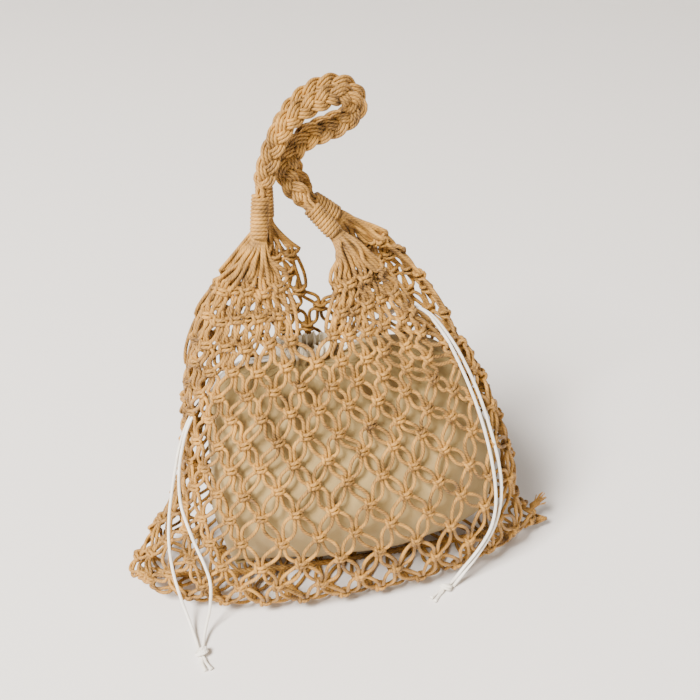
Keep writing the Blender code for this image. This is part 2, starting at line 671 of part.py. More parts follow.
def build_knot(name, finish):
    """The overhand knot that joins two drawstrings, with its short tail, lying on the floor."""
    x, y, tail_x, tail_y = STRING_KNOTS[name]
    along_tail = unit(np.array([tail_x, tail_y, 0.0]))
    aside = np.cross(along_tail, np.array([0.0, 0.0, 1.0]))
    start = np.array([x, y, 0.0])
    shape = bmesh.new()
    rings = []
    for share, radius_share in KNOT_PROFILE:
        radius = KNOT_RADIUS * radius_share
        centre = start + along_tail * share * KNOT_LENGTH + np.array([0.0, 0.0, radius])
        ring = []
        for k in range(KNOT_SIDES):
            turn = 2 * pi * (k + 0.5) / KNOT_SIDES
            height = sin(turn) * radius / sin(pi / 2 - pi / KNOT_SIDES)
            ring.append(shape.verts.new(Vector(centre + aside * cos(turn) * radius + np.array([0, 0, height]))))
        rings.append(ring)
    loft(shape, rings)
    return add_object(f"drawstring_knot_{name}", mesh_from(f"drawstring_knot_{name}", shape), finish)


def build_tuft(finish):
    """Locks of cut cord ends drawn out of the faces of one small head."""
    out = unit(np.array(TUFT_OUT))
    seat = body_point("front", COLUMNS, TUFT_ROW)
    head = Vector(seat + out * TUFT_HEAD)
    shape = bmesh.new()
    bmesh.ops.create_icosphere(shape, subdivisions=1, radius=TUFT_HEAD)
    bmesh.ops.translate(shape, verts=shape.verts, vec=head)
    shape.faces.ensure_lookup_table()
    outer = [f for f in shape.faces if f.normal.dot(Vector(out)) > 0.3]
    drawn = bmesh.ops.extrude_discrete_faces(shape, faces=outer)["faces"]
    for face in drawn:
        centre = face.calc_center_median()
        lean = (face.normal + 1.6 * Vector(out)).normalized()
        for vert in face.verts:
            vert.co = centre + (vert.co - centre) * 0.45 + lean * TUFT_LOCK
    return add_object("corner_tuft", mesh_from("corner_tuft", shape), finish)


def main():
    for obj in list(bpy.data.objects):
        bpy.data.objects.remove(obj)
    cord = material("tan_cord", CORD_TAN, 0.75)
    cotton = material("beige_cotton", COTTON_BEIGE, 0.9)
    white = material("white_cord", STRING_WHITE, 0.7)
    build_net(cord)
    for ear in EARS:
        build_collar(ear, cord)
    for side in ("front", "back"):
        build_handle(side, cord)
    build_pouch(cotton)
    for name in STRING_ROUTES:
        build_string(name, white)
    for name in STRING_KNOTS:
        build_knot(name, white)
    build_tuft(cord)


main()
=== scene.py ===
"""Looks of a knotted net shoulder bag, laid out as a Blender add-on and run as a script.

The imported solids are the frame; every piece here stands on the same named values, in metres,
+Z up, with the bottom seam along X and the front towards -Y.
"""
from math import cos, pi, radians, sin

import bmesh
import bpy
import numpy as np
from bpy.props import FloatProperty, FloatVectorProperty, IntProperty, PointerProperty
from mathutils import Matrix, Vector, noise


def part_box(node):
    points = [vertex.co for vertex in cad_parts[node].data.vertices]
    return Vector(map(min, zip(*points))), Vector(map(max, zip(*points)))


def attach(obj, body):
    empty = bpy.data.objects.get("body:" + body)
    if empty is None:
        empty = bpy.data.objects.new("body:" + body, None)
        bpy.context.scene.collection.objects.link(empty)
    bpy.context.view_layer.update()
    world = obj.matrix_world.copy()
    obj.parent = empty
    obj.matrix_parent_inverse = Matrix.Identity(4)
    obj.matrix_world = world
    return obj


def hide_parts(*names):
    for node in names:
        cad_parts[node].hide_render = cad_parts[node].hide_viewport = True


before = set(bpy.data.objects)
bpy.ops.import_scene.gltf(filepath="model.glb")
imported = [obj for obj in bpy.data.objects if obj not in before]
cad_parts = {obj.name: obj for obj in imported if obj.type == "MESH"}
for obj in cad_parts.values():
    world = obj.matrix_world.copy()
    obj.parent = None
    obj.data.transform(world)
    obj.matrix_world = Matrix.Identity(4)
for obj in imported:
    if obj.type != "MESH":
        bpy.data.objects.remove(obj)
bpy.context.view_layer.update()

bl_info = {
    "name": "Knotted Net Shoulder Bag",
    "version": (1, 0, 0),
    "blender": (4, 5, 0),
    "location": "View3D > Sidebar > Net Bag",
    "description": "Dresses the packed bag in knotted cord, plaits, gathered cloth and drawstrings",
    "category": "Object",
}

# Sizes shared with the solids
BODY_WIDTH = 0.440
BODY_DEPTH = 0.152
BODY_HEIGHT = 0.378
COLUMNS = 12
BUNDLE_WIDTH = 0.0088
BUNDLE_SHARE = 0.44
FIT_GAP = 0.0003
HANDLE_REACH = 0.088
HANDLE_RISE = 0.074
PLAIT_CYCLE = 0.041
PLAIT_LEAD = 0.002
PLAIT_TAPER = 0.010
POUCH_WIDTH = 0.300
POUCH_DEPTH = 0.126
POUCH_HEIGHT = 0.285
HANDLE_STATIONS = 170
SIDE_ROUNDNESS = 2.4
SIDE_RISE = 2.2
SPLIT_ROW = 10
DIP_ROW = 12
TOP_ROW = 15
COLLAR_ROW = 17
RING = 2 * COLUMNS

# Knots and cords of the net: strays and lean of a knot, the room across at which knots crowd or
# lie open, the step in depth between crowded ones, and how the links and the seam's cords run
KNOT_STRAY = 0.0012
SEAM_STRAY = 0.0004
KNOT_LEAN = 0.10
CROWDED_ROOM = 0.0062
CROWDED_STEP = 0.0030
OPEN_ROOM = 0.018
KNOT_SPACING = 0.0021
FLOAT_SLACK = 0.3
LINK_BOW = 0.0008
FLOOR_GAP = 0.0001
SEAM_LAY = 0.016
SEAM_SPREAD = 0.0017
SEAM_ENDS = 0.006

# Fans of cords between the collars and the top row of knots
CORDS_PER_EAR = 24
FAN_HALF_WIDTH = 0.0046
FAN_LAYER = 0.0027
FAN_BOW = 0.0030
FAN_BOW_STEP = 0.0012
FAN_STRAY = 0.0010
FAN_TUCK = 0.45
FAN_ENTRY = 0.002
FAN_DROP = 0.006
FAN_FINISH = 0.0040
FAN_SPACING = 0.0030

# Whippings: radius of their cord, of their coils and how much the coils swell midway
WHIP_CORD = 0.00165
WHIP_COILS = 0.0062
WHIP_SWELL = 0.0003
WHIP_TUCK = 0.004

# Plaits: how close the cords of a strand lie, and the bundle that they form inside a collar
PLAIT_CLOSE = 0.93
PLAIT_BUNDLE = 0.0030
PLAIT_FACE = np.array([0.0, -1.0, 0.35])

# Pouch: its mesh, its UV map's size in centimetres, its cloth, where its pleats begin as a share
# of the rows, and how far its soft folds, drape, fine pleats and frilled edge swing
POUCH_SIDES = 288
POUCH_ROWS = 120
POUCH_UV = (62.0, 29.0)
POUCH_CORNER = 0.85
CLOTH_THICKNESS = 0.0008
GATHER_FROM = 0.42
GATHER_SPAN = 0.58
SOFT_FOLD = 0.0042
DRAPE_FOLD = 0.0034
FINE_PLEAT = 0.0010
FRILL_RISE = 0.0030

# The drawstrings' overhand knot in millimetres, and the tuft's cut ends in metres
MM = 0.001
TAIL_FROM = 12.0
TAIL_LENGTH = 14.0
TUFT_ENDS = 26
TUFT_SHORTEST = 0.010
TUFT_LONGEST = 0.014
TUFT_SPREAD = 0.24

# Units of a wave texture in which its diagonal or straight bands turn once
DIAGONAL_TURN = 0.6283
STRAIGHT_TURN = 0.3142

# Rows of the net from the bottom seam (row 0) up to where the panels part into ears (row 10).
# x as shares of BODY_WIDTH, y of BODY_DEPTH, z of BODY_HEIGHT.
SECTIONS = (
    # row, x_left, x_right, y_left, z_left, y_right, z_right, y_front, z_front, y_back, z_back
    (0, -0.464, 0.532, 0.145, 0.079, 0.099, 0.037, 0.000, 0.006, 0.000, 0.006),
    (1, -0.468, 0.498, 0.164, 0.066, 0.072, 0.061, -0.217, 0.006, 0.237, 0.006),
    (2, -0.457, 0.459, 0.197, 0.069, 0.053, 0.095, -0.382, 0.045, 0.408, 0.032),
    (3, -0.434, 0.425, 0.250, 0.098, 0.033, 0.201, -0.447, 0.124, 0.500, 0.101),
    (4, -0.398, 0.407, 0.303, 0.143, 0.000, 0.307, -0.467, 0.204, 0.553, 0.180),
    (6, -0.345, 0.361, 0.336, 0.249, -0.053, 0.458, -0.421, 0.354, 0.566, 0.333),
    (8, -0.325, 0.316, 0.329, 0.386, -0.046, 0.587, -0.316, 0.481, 0.539, 0.471),
    (10, -0.311, 0.275, 0.316, 0.537, 0.007, 0.675, -0.237, 0.606, 0.500, 0.603),
)

# Each ear: the ends of its collar's axis, how high its outer and inner cords rise before they
# turn to the collar, how far the outer ones lean aside and back on the way, how far they run
# along the collar's line, and how wide they fan out.
# x as shares of BODY_WIDTH, y of BODY_DEPTH, z, lifts and lead of BODY_HEIGHT.
EARS = {
    # name: low_x, low_y, low_z, top_x, top_y, top_z, lift_out, lift_in, lean_x, lean_y, lead, fan
    "front_left": (-0.143, 0.092, 1.000, -0.132, 0.158, 1.095, 0.350, 0.185, 0.000, -0.170, 0.074, 0.40),
    "front_right": (0.009, 0.092, 0.990, -0.036, 0.180, 1.048, 0.075, 0.160, -0.085, -0.100, 0.069, 0.15),
    "back_left": (-0.116, 0.340, 1.000, -0.116, 0.350, 1.090, 0.340, 0.185, 0.000, 0.150, 0.074, 0.38),
    "back_right": (0.030, 0.330, 0.992, -0.023, 0.342, 1.040, 0.210, 0.185, 0.000, 0.150, 0.026, 0.45),
}

# Routes of the handles' middles, from the left collar to the right one, measured from the left
# collar's top: reach as a share of HANDLE_REACH, back of BODY_DEPTH and rise of HANDLE_RISE.
HANDLE_ROUTES = {
    "front": (
        # reach, back, rise
        (0.05, 0.006, 0.19), (0.12, 0.020, 0.44), (0.23, 0.039, 0.69), (0.38, 0.066, 0.84),
        (0.57, 0.092, 0.93), (0.75, 0.118, 0.99), (0.89, 0.138, 0.95), (0.96, 0.151, 0.84),
        (0.94, 0.158, 0.71), (0.85, 0.158, 0.62), (0.71, 0.151, 0.56), (0.56, 0.138, 0.52),
        (0.43, 0.125, 0.45), (0.33, 0.112, 0.32), (0.27, 0.092, 0.18), (0.30, 0.072, 0.03),
        (0.38, 0.053, -0.09),
    ),
    "back": (
        # reach, back, rise
        (0.03, 0.012, 0.05), (0.12, 0.038, 0.34), (0.23, 0.064, 0.62), (0.38, 0.091, 0.83),
        (0.54, 0.111, 0.95), (0.71, 0.130, 1.00), (0.87, 0.143, 0.96), (0.97, 0.150, 0.85),
        (1.01, 0.150, 0.71), (0.94, 0.143, 0.63), (0.80, 0.130, 0.57), (0.64, 0.111, 0.52),
        (0.49, 0.091, 0.47), (0.38, 0.071, 0.39), (0.31, 0.051, 0.26), (0.30, 0.038, 0.11),
        (0.35, 0.025, -0.04), (0.44, 0.012, -0.18),
    ),
}

# Pouch from its bottom hem up through the shoulders and the drawn neck to the ruffle.
# x as shares of POUCH_WIDTH, y of POUCH_DEPTH, z of POUCH_HEIGHT, ruffle of the pleats' depth.
POUCH_SECTIONS = (
    # x_left, x_right, z_left, z_middle, z_right, y_left, y_right, y_front, y_back, ruffle
    (-0.347, 0.547, 0.085, 0.029, 0.126, -0.020, 0.110, 0.125, 0.185, 0.0),
    (-0.367, 0.553, 0.130, 0.085, 0.170, 0.020, 0.100, -0.110, 0.290, 0.0),
    (-0.387, 0.550, 0.210, 0.190, 0.270, 0.080, 0.060, -0.310, 0.420, 0.0),
    (-0.405, 0.545, 0.330, 0.330, 0.400, 0.140, 0.040, -0.460, 0.500, 0.0),
    (-0.407, 0.500, 0.480, 0.480, 0.580, 0.200, 0.030, -0.450, 0.550, 0.0),
    (-0.403, 0.430, 0.620, 0.630, 0.740, 0.235, 0.030, -0.325, 0.540, 0.0),
    (-0.375, 0.365, 0.760, 0.760, 0.850, 0.250, 0.080, -0.230, 0.480, 0.3),
    (-0.300, 0.250, 0.845, 0.840, 0.900, 0.210, 0.110, -0.100, 0.370, 0.8),
    (-0.170, -0.005, 0.885, 0.880, 0.885, 0.120, 0.110, 0.020, 0.200, 1.0),
    (-0.157, -0.020, 0.900, 0.898, 0.900, 0.120, 0.110, 0.030, 0.185, 0.6),
    (-0.168, -0.005, 0.925, 0.922, 0.925, 0.120, 0.110, 0.020, 0.205, 1.3),
    (-0.175, 0.000, 0.955, 0.942, 0.955, 0.120, 0.110, 0.030, 0.215, 1.8),
)

# Routes of the drawstrings in metres, from the pouch's neck to the knots on the floor.
STRING_ROUTES = {
    "left_a": (
        (-0.0563, 0.0184, 0.2545), (-0.0826, 0.0232, 0.2505), (-0.1037, 0.0260, 0.2359),
        (-0.1212, 0.0255, 0.2151), (-0.1370, 0.0222, 0.1931), (-0.1477, 0.0185, 0.1685),
        (-0.1549, 0.0157, 0.1419), (-0.1612, 0.0131, 0.1149), (-0.1666, 0.0080, 0.0888),
        (-0.1698, -0.0050, 0.0662), (-0.1690, -0.0234, 0.0464), (-0.1647, -0.0393, 0.0254),
        (-0.1609, -0.0495, 0.0127), (-0.1582, -0.0593, 0.0064), (-0.1540, -0.0840, 0.0016),
    ),
    "left_b": (
        (-0.0563, 0.0140, 0.2545), (-0.0828, 0.0186, 0.2505), (-0.1048, 0.0205, 0.2362),
        (-0.1228, 0.0190, 0.2156), (-0.1375, 0.0156, 0.1929), (-0.1465, 0.0127, 0.1673),
        (-0.1521, 0.0096, 0.1402), (-0.1539, 0.0041, 0.1142), (-0.1530, -0.0017, 0.1033),
        (-0.1463, -0.0240, 0.0841), (-0.1386, -0.0427, 0.0668), (-0.1357, -0.0509, 0.0519),
        (-0.1393, -0.0582, 0.0233), (-0.1430, -0.0625, 0.0133), (-0.1454, -0.0671, 0.0083),
        (-0.1503, -0.0840, 0.0016),
    ),
    "right_a": (
        (0.0056, 0.0162, 0.2550), (0.0275, 0.0146, 0.2719), (0.0490, 0.0134, 0.2882),
        (0.0620, 0.0118, 0.2948), (0.0705, 0.0097, 0.2965), (0.0785, 0.0066, 0.2956),
        (0.0893, 0.0004, 0.2897), (0.1063, -0.0133, 0.2673), (0.1180, -0.0230, 0.2442),
        (0.1279, -0.0313, 0.2195), (0.1361, -0.0380, 0.1938), (0.1435, -0.0427, 0.1674),
        (0.1500, -0.0456, 0.1406), (0.1538, -0.0481, 0.1133), (0.1533, -0.0504, 0.0860),
        (0.1468, -0.0526, 0.0598), (0.1338, -0.0554, 0.0361), (0.1171, -0.0590, 0.0143),
        (0.1066, -0.0614, 0.0016),
    ),
    "right_b": (
        (0.0056, 0.0118, 0.2550), (0.0274, 0.0100, 0.2717), (0.0481, 0.0090, 0.2888),
        (0.0603, 0.0077, 0.2963), (0.0683, 0.0058, 0.2986), (0.0758, 0.0030, 0.2982),
        (0.0827, -0.0007, 0.2951), (0.0988, -0.0140, 0.2739), (0.1098, -0.0239, 0.2507),
        (0.1195, -0.0323, 0.2261), (0.1280, -0.0391, 0.2006), (0.1352, -0.0445, 0.1743),
        (0.1412, -0.0488, 0.1475), (0.1456, -0.0519, 0.1203), (0.1473, -0.0539, 0.0930),
        (0.1433, -0.0556, 0.0667), (0.1316, -0.0572, 0.0429), (0.1163, -0.0579, 0.0201),
        (0.1044, -0.0579, 0.0016),
    ),
}
# Knots on the drawstrings' ends: where the strands enter, and the direction that the tail takes.
STRING_KNOTS = {
    # name: enter_x, enter_y, tail_x, tail_y
    "left": (-0.1521, -0.0848, 0.07, -1.00),
    "right": (0.1035, -0.0606, -0.90, -0.45),
}


def table_row(table, at, first=1):
    """One row of a table, read between its rows at the value of its first column."""
    rows = np.array(table, float)
    return [float(np.interp(at, rows[:, 0], rows[:, c])) for c in range(first, rows.shape[1])]


def unit(v):
    return v / np.linalg.norm(v)


def lengths_along(points):
    """The length from a line's first point to each of its points."""
    return np.concatenate([[0.0], np.cumsum(np.linalg.norm(np.diff(points, axis=0), axis=1))])


def bezier(start, first, second, end, t):
    """Points of a cubic curve at the shares t."""
    return ((1 - t) ** 3 * start + 3 * (1 - t) ** 2 * t * first
            + 3 * (1 - t) * t ** 2 * second + t ** 3 * end)


def along(points, share):
    """The point at a share of a polyline's length."""
    reached = lengths_along(points)
    return np.array([np.interp(share * reached[-1], reached, points[:, c]) for c in range(3)])


def smooth_route(points, count):
    """Evenly spaced points on a centripetal Catmull-Rom curve through the given ones."""
    p = [np.array(q, float) for q in points]
    p = [2 * p[0] - p[1]] + p + [2 * p[-1] - p[-2]]
    fine = []
    for k in range(1, len(p) - 2):
        times = [0.0]
        for m in range(3):
            times.append(times[-1] + np.linalg.norm(p[k + m] - p[k + m - 1]) ** 0.5)
        t0, t1, t2, t3 = times
        for t in np.linspace(t1, t2, 9)[:-1]:
            a1 = (t1 - t) / (t1 - t0) * p[k - 1] + (t - t0) / (t1 - t0) * p[k]
            a2 = (t2 - t) / (t2 - t1) * p[k] + (t - t1) / (t2 - t1) * p[k + 1]
            a3 = (t3 - t) / (t3 - t2) * p[k + 1] + (t - t2) / (t3 - t2) * p[k + 2]
            b1 = (t2 - t) / (t2 - t0) * a1 + (t - t0) / (t2 - t0) * a2
            b2 = (t3 - t) / (t3 - t1) * a2 + (t - t1) / (t3 - t1) * a3
            fine.append((t2 - t) / (t2 - t1) * b1 + (t - t1) / (t2 - t1) * b2)
    fine = np.array(fine + [p[-2]])
    return np.array([along(fine, share) for share in np.linspace(0, 1, count)])


def body_point(side, column, row):
    """A point of the net below the ears, at a column from left to right and a row from the seam up."""
    share = table_row(SECTIONS, row)
    xl, xr = share[0] * BODY_WIDTH, share[1] * BODY_WIDTH
    yl, zl = share[2] * BODY_DEPTH, share[3] * BODY_HEIGHT
    yr, zr = share[4] * BODY_DEPTH, share[5] * BODY_HEIGHT
    middle = 6 if side == "front" else 8
    yc, zc = share[middle] * BODY_DEPTH, share[middle + 1] * BODY_HEIGHT
    s = np.sin(np.linspace(-pi / 2, pi / 2, 61))
    w = np.abs(s)
    y_side = np.where(s < 0, yl, yr)
    z_side = np.where(s < 0, zl, zr)
    bulge = (1 - w ** SIDE_ROUNDNESS) ** (1 / SIDE_ROUNDNESS)
    x = (xl + xr) / 2 + s * (xr - xl) / 2
    y = y_side + (yc - y_side) * bulge
    z = zc + (z_side - zc) * w ** SIDE_RISE
    return along(np.stack([x, y, z], -1), column / COLUMNS)


def collar_ends(ear):
    """The lower and upper end of a collar's axis."""
    size = np.array([BODY_WIDTH, BODY_DEPTH, BODY_HEIGHT])
    return np.array(EARS[ear][0:3]) * size, np.array(EARS[ear][3:6]) * size


def ear_point(ear, column, row):
    """A point of an ear, from the row where the panels part up into the collar."""
    low, top = collar_ends(ear)
    lift_out, lift_in, lean_x, lean_y, lead, fan = EARS[ear][6:12]
    axis = unit(top - low)
    across = unit(np.array([1.0, 0.0, 0.0]) - axis * axis[0])
    half = COLUMNS / 2
    left = ear.endswith("left")
    outwards = (half - column) / half if left else (column - half) / half
    local = (column - half / 2) if left else (column - 1.5 * half)
    end = low + across * local / half * BUNDLE_WIDTH
    if row >= COLLAR_ROW:
        return end + axis * (row - COLLAR_ROW) * BUNDLE_SHARE * np.linalg.norm(top - low)
    side = ear.split("_")[0]
    start = body_point(side, column, SPLIT_ROW)
    up = unit(start - body_point(side, column, SPLIT_ROW - 1))
    first = start + up * (lift_in + (lift_out - lift_in) * outwards) * BODY_HEIGHT
    first[0] += lean_x * outwards * BODY_WIDTH
    first[1] += lean_y * outwards * BODY_DEPTH
    second = end - axis * lead * BODY_HEIGHT
    second[0] += fan * (start[0] - end[0])
    curve = bezier(start, first, second, end, np.linspace(0, 1, 25)[:, None])
    return along(curve, (row - SPLIT_ROW) / (COLLAR_ROW - SPLIT_ROW))


def net_point(side, hand, column, row):
    """A point of the net's middle surface anywhere, hand telling the ears apart at the middle column."""
    if row <= SPLIT_ROW:
        return body_point(side, column, row)
    middle = COLUMNS / 2
    if column == middle and row <= DIP_ROW:
        both = [ear_point(f"{side}_{h}", column, row) for h in ("left", "right")]
        return (both[0] + both[1]) / 2
    if column != middle:
        hand = "left" if column < middle else "right"
    return ear_point(f"{side}_{hand}", column, row)


def handle_route(side):
    """The middle line of a handle, from inside its left collar to inside its right one."""
    left_low, left_top = collar_ends(f"{side}_left")
    right_low, right_top = collar_ends(f"{side}_right")
    size = np.array([HANDLE_REACH, BODY_DEPTH, HANDLE_RISE])
    left_axis, right_axis = left_top - left_low, right_top - right_low
    left_start = left_low + left_axis * BUNDLE_SHARE + unit(left_axis) * FIT_GAP
    right_start = right_low + right_axis * BUNDLE_SHARE + unit(right_axis) * FIT_GAP
    free = [left_top + np.array(row) * size for row in HANDLE_ROUTES[side]]
    left = [left_start, (left_start + left_top) / 2, left_top + unit(left_axis) * PLAIT_LEAD]
    right = [right_top + unit(right_axis) * PLAIT_LEAD, (right_top + right_start) / 2, right_start]
    return smooth_route(left + free + right, HANDLE_STATIONS)


def linear(code):
    """An sRGB hex value as linear red, green and blue."""
    parts = [int(code[k:k + 2], 16) / 255 for k in (1, 3, 5)]
    return tuple(p / 12.92 if p <= 0.04045 else ((p + 0.055) / 1.055) ** 2.4 for p in parts)


# Corners of the ears whose knots hang slack of the solid ear: place round the net, aside, down.
DROOPS = (
    (12.5, -0.004, 0.011),
    (17.5, 0.012, 0.007),
    (23.5, 0.004, 0.016),
)


def ring_point(place, row):
    """A point at a place round the whole net: 0 to 12 across the front, on to 24 across the back."""
    place = place % RING
    side = "front" if place <= COLUMNS else "back"
    column = place if side == "front" else RING - place
    hand = "left" if column < COLUMNS / 2 else "right"
    point = np.array(net_point(side, hand, column, row))
    for corner, aside, down in DROOPS:
        if corner // (COLUMNS / 2) == place // (COLUMNS / 2):
            near = np.clip(1 - abs(place - corner) / 3.5, 0, 1) * np.clip((row - DIP_ROW) / 3, 0, 1)
            point += np.array([aside, 0.0, -down]) * near
    return point


def knot_frame(place, row):
    """A knot's middle, its directions across, up and out, and how much room it has across."""
    step = 0.24
    middle = ring_point(place, row)
    if row > SPLIT_ROW and place % (COLUMNS / 2) == 0:
        step = 0.5
    across = ring_point(place + step, row) - ring_point(place - step, row)
    up = ring_point(place, row + 0.2) - ring_point(place, max(row - 0.2, 0.0))
    room = np.linalg.norm(across) / (2 * step)
    across = unit(across)
    up = unit(up - across * (up @ across))
    return middle, across, up, np.cross(across, up), room


class Tubes:
    """Round cords gathered into one mesh, each with its length and turn in the UV map."""

    def __init__(self):
        self.verts = []
        self.faces = []
        self.uvs = []
        self.count = 0

    def add(self, points, radius, sides=8):
        """One cord along a line of points; radius is one number or one for each point."""
        points = np.asarray(points, float)
        total = len(points)
        radius = np.broadcast_to(np.asarray(radius, float), (total,))
        tangents = np.gradient(points, axis=0)
        tangents /= np.linalg.norm(tangents, axis=1)[:, None] + 1e-12
        side = np.cross(tangents[0], (0.3, 0.9, 0.2))
        sides_at = []
        for tangent in tangents:
            side = side - tangent * (side @ tangent)
            side = side / (np.linalg.norm(side) + 1e-12)
            sides_at.append(side)
        sides_at = np.array(sides_at)
        others = np.cross(tangents, sides_at)
        turns = 2 * pi * np.arange(sides) / sides
        spokes = (sides_at[:, None] * np.cos(turns)[None, :, None]
                  + others[:, None] * np.sin(turns)[None, :, None])
        rings = points[:, None] + radius[:, None, None] * spokes
        self.verts.append(rings.reshape(-1, 3))
        lengths = lengths_along(points)
        base = self.count
        k = np.arange(total - 1)[:, None] * sides
        m = np.arange(sides)[None, :]
        n = (m + 1) % sides
        quads = np.stack([base + k + m, base + k + n, base + k + sides + n, base + k + sides + m], -1)
        self.faces.extend(quads.reshape(-1, 4).tolist())
        corners = ((m, lengths[:-1]), (m + 1, lengths[:-1]), (m + 1, lengths[1:]), (m, lengths[1:]))
        uv = [np.stack(np.broadcast_arrays(turn / sides, reached[:, None] * 100), -1)
              for turn, reached in corners]
        self.uvs.append(np.stack(uv, 2).reshape(-1, 2))
        for ring, order in ((0, -1), (total - 1, 1)):
            self.faces.append([base + ring * sides + j for j in range(sides)][::order])
            self.uvs.append(np.full((sides, 2), (0.5, lengths[ring] * 100)))
        self.count += total * sides

    def piece(self, name, finish):
        """The mesh object of all cords added so far."""
        mesh = bpy.data.meshes.new(name)
        mesh.from_pydata(np.concatenate(self.verts).tolist(), [], self.faces)
        layer = mesh.uv_layers.new(name="UVMap")
        layer.data.foreach_set("uv", np.concatenate(self.uvs).astype(np.float32).ravel())
        return add_piece(name, mesh, finish)


def add_piece(name, mesh, finish):
    """A smooth shaded object that rides on the bag."""
    mesh.shade_smooth()
    mesh.materials.append(finish)
    piece = bpy.data.objects.new(name, mesh)
    bpy.context.scene.collection.objects.link(piece)
    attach(piece, "root")
    return piece


def curve_through(points, spacing):
    """Points on a centripetal Catmull-Rom curve, about as far apart as asked."""
    length = np.linalg.norm(np.diff(np.array(points), axis=0), axis=1).sum()
    return smooth_route(points, max(3, int(round(length / spacing)) + 1))


def add_node(tree, kind, settings=None, links=None):
    """One shader node with its settings, and its inputs set to values or linked to outputs."""
    node = tree.nodes.new(kind)
    for name, value in (settings or {}).items():
        setattr(node, name, value)
    for name, value in (links or {}).items():
        if isinstance(value, bpy.types.NodeSocket):
            tree.links.new(value, node.inputs[name])
        else:
            node.inputs[name].default_value = value
    return node


def new_material(name, roughness, sheen):
    """A material with only its shader and output, and its even values on the shader's own sockets."""
    made = bpy.data.materials.get(name)
    if made is not None:
        return made, None, None
    made = bpy.data.materials.new(name)
    made.use_nodes = True
    tree = made.node_tree
    shader = tree.nodes["Principled BSDF"]
    shader.inputs["Roughness"].default_value = roughness
    shader.inputs["Sheen Weight"].default_value = sheen
    shader.inputs["Sheen Roughness"].default_value = 0.5
    shader.inputs["Specular IOR Level"].default_value = 0.28
    return made, tree, shader


def noise_node(tree, where, scale, detail, roughness):
    """A noise over the object's own coordinates."""
    return add_node(tree, "ShaderNodeTexNoise", None, {
        "Vector": where.outputs["Object"], "Scale": scale, "Detail": detail, "Roughness": roughness})


def range_node(tree, value, low, high, to_low, to_high):
    """A value spread from one range to another."""
    return add_node(tree, "ShaderNodeMapRange", None, {
        "Value": value, "From Min": low, "From Max": high, "To Min": to_low, "To Max": to_high})


def blend_node(tree, share, first, second):
    """A share between two colours."""
    return add_node(tree, "ShaderNodeMix", {"data_type": "RGBA"}, {"Factor": share, 6: first, 7: second})


def coat(tree, shader, tint, fine, fine_share, coarse, strength, depth):
    """Gives the shader its colour, and a relief of the coarse height with a share of the fine one."""
    relief = add_node(tree, "ShaderNodeMath", {"operation": "MULTIPLY_ADD"}, {
        0: fine.outputs["Fac"], 1: fine_share, 2: coarse})
    bump = add_node(tree, "ShaderNodeBump", None, {
        "Strength": strength, "Distance": depth, "Height": relief.outputs[0]})
    tree.links.new(tint.outputs[2], shader.inputs["Base Color"])
    tree.links.new(bump.outputs["Normal"], shader.inputs["Normal"])


def twisted_cord(name, look, plies, roughness, sheen, twist_depth):
    """Twisted cotton cord: slanting plies along its length, soft mottling and painted shade that darkens the
    grooves.
    """
    made, tree, shader = new_material(name, roughness, sheen)
    if tree is None:
        return made
    place = add_node(tree, "ShaderNodeUVMap", {"uv_map": "UVMap"})
    # the UV map goes once round the cord and its height is in centimetres
    scaled = add_node(tree, "ShaderNodeMapping", None, {
        "Vector": place.outputs["UV"],
        "Scale": (DIAGONAL_TURN * plies, DIAGONAL_TURN * 10 * plies / look.lay, 1.0)})
    ply = add_node(tree, "ShaderNodeTexWave", {"wave_type": "BANDS", "bands_direction": "DIAGONAL"}, {
        "Vector": scaled.outputs["Vector"], "Scale": 1.0, "Distortion": 0.6,
        "Detail": 1.0, "Detail Scale": 3.0})
    where = add_node(tree, "ShaderNodeTexCoord")
    mottle = noise_node(tree, where, 55.0, 3.0, 0.6)
    fibre = noise_node(tree, where, 900.0, 2.0, 0.7)
    spread = range_node(tree, mottle.outputs["Fac"], 0.3, 0.7, 0.0, 0.75)
    # painted shade: the grooves between the plies are darkened towards the groove colour, on top of the
    # random mottling
    painted_groove_shade = range_node(tree, ply.outputs["Fac"], 0.0, 0.55, 0.30, 0.0)
    share = add_node(tree, "ShaderNodeMath", {"operation": "ADD", "use_clamp": True}, {
        0: spread.outputs["Result"], 1: painted_groove_shade.outputs["Result"]})
    tint = blend_node(tree, share.outputs[0], (*look.light, 1.0), (*look.dark, 1.0))
    coat(tree, shader, tint, fibre, 0.35, ply.outputs["Fac"], 0.6, twist_depth)
    return made


def tan_cord():
    """Waxed cotton cord, laid from three plies: soft shine on the crowns and painted shade, brown, in the
    grooves.
    """
    return twisted_cord("waxed_cotton_cord_three_ply", bpy.context.scene.net_bag_cord, 3, 0.60, 0.06, 0.00025)


def white_cord():
    """Bleached cotton drawstring, close twisted: fine slanting plies, a dull, clean surface and faint painted
    shade in the grooves.
    """
    look = bpy.context.scene.net_bag_drawstring
    return twisted_cord("bleached_cotton_drawstring_twisted", look, 4, 0.75, 0.3, 0.0003)


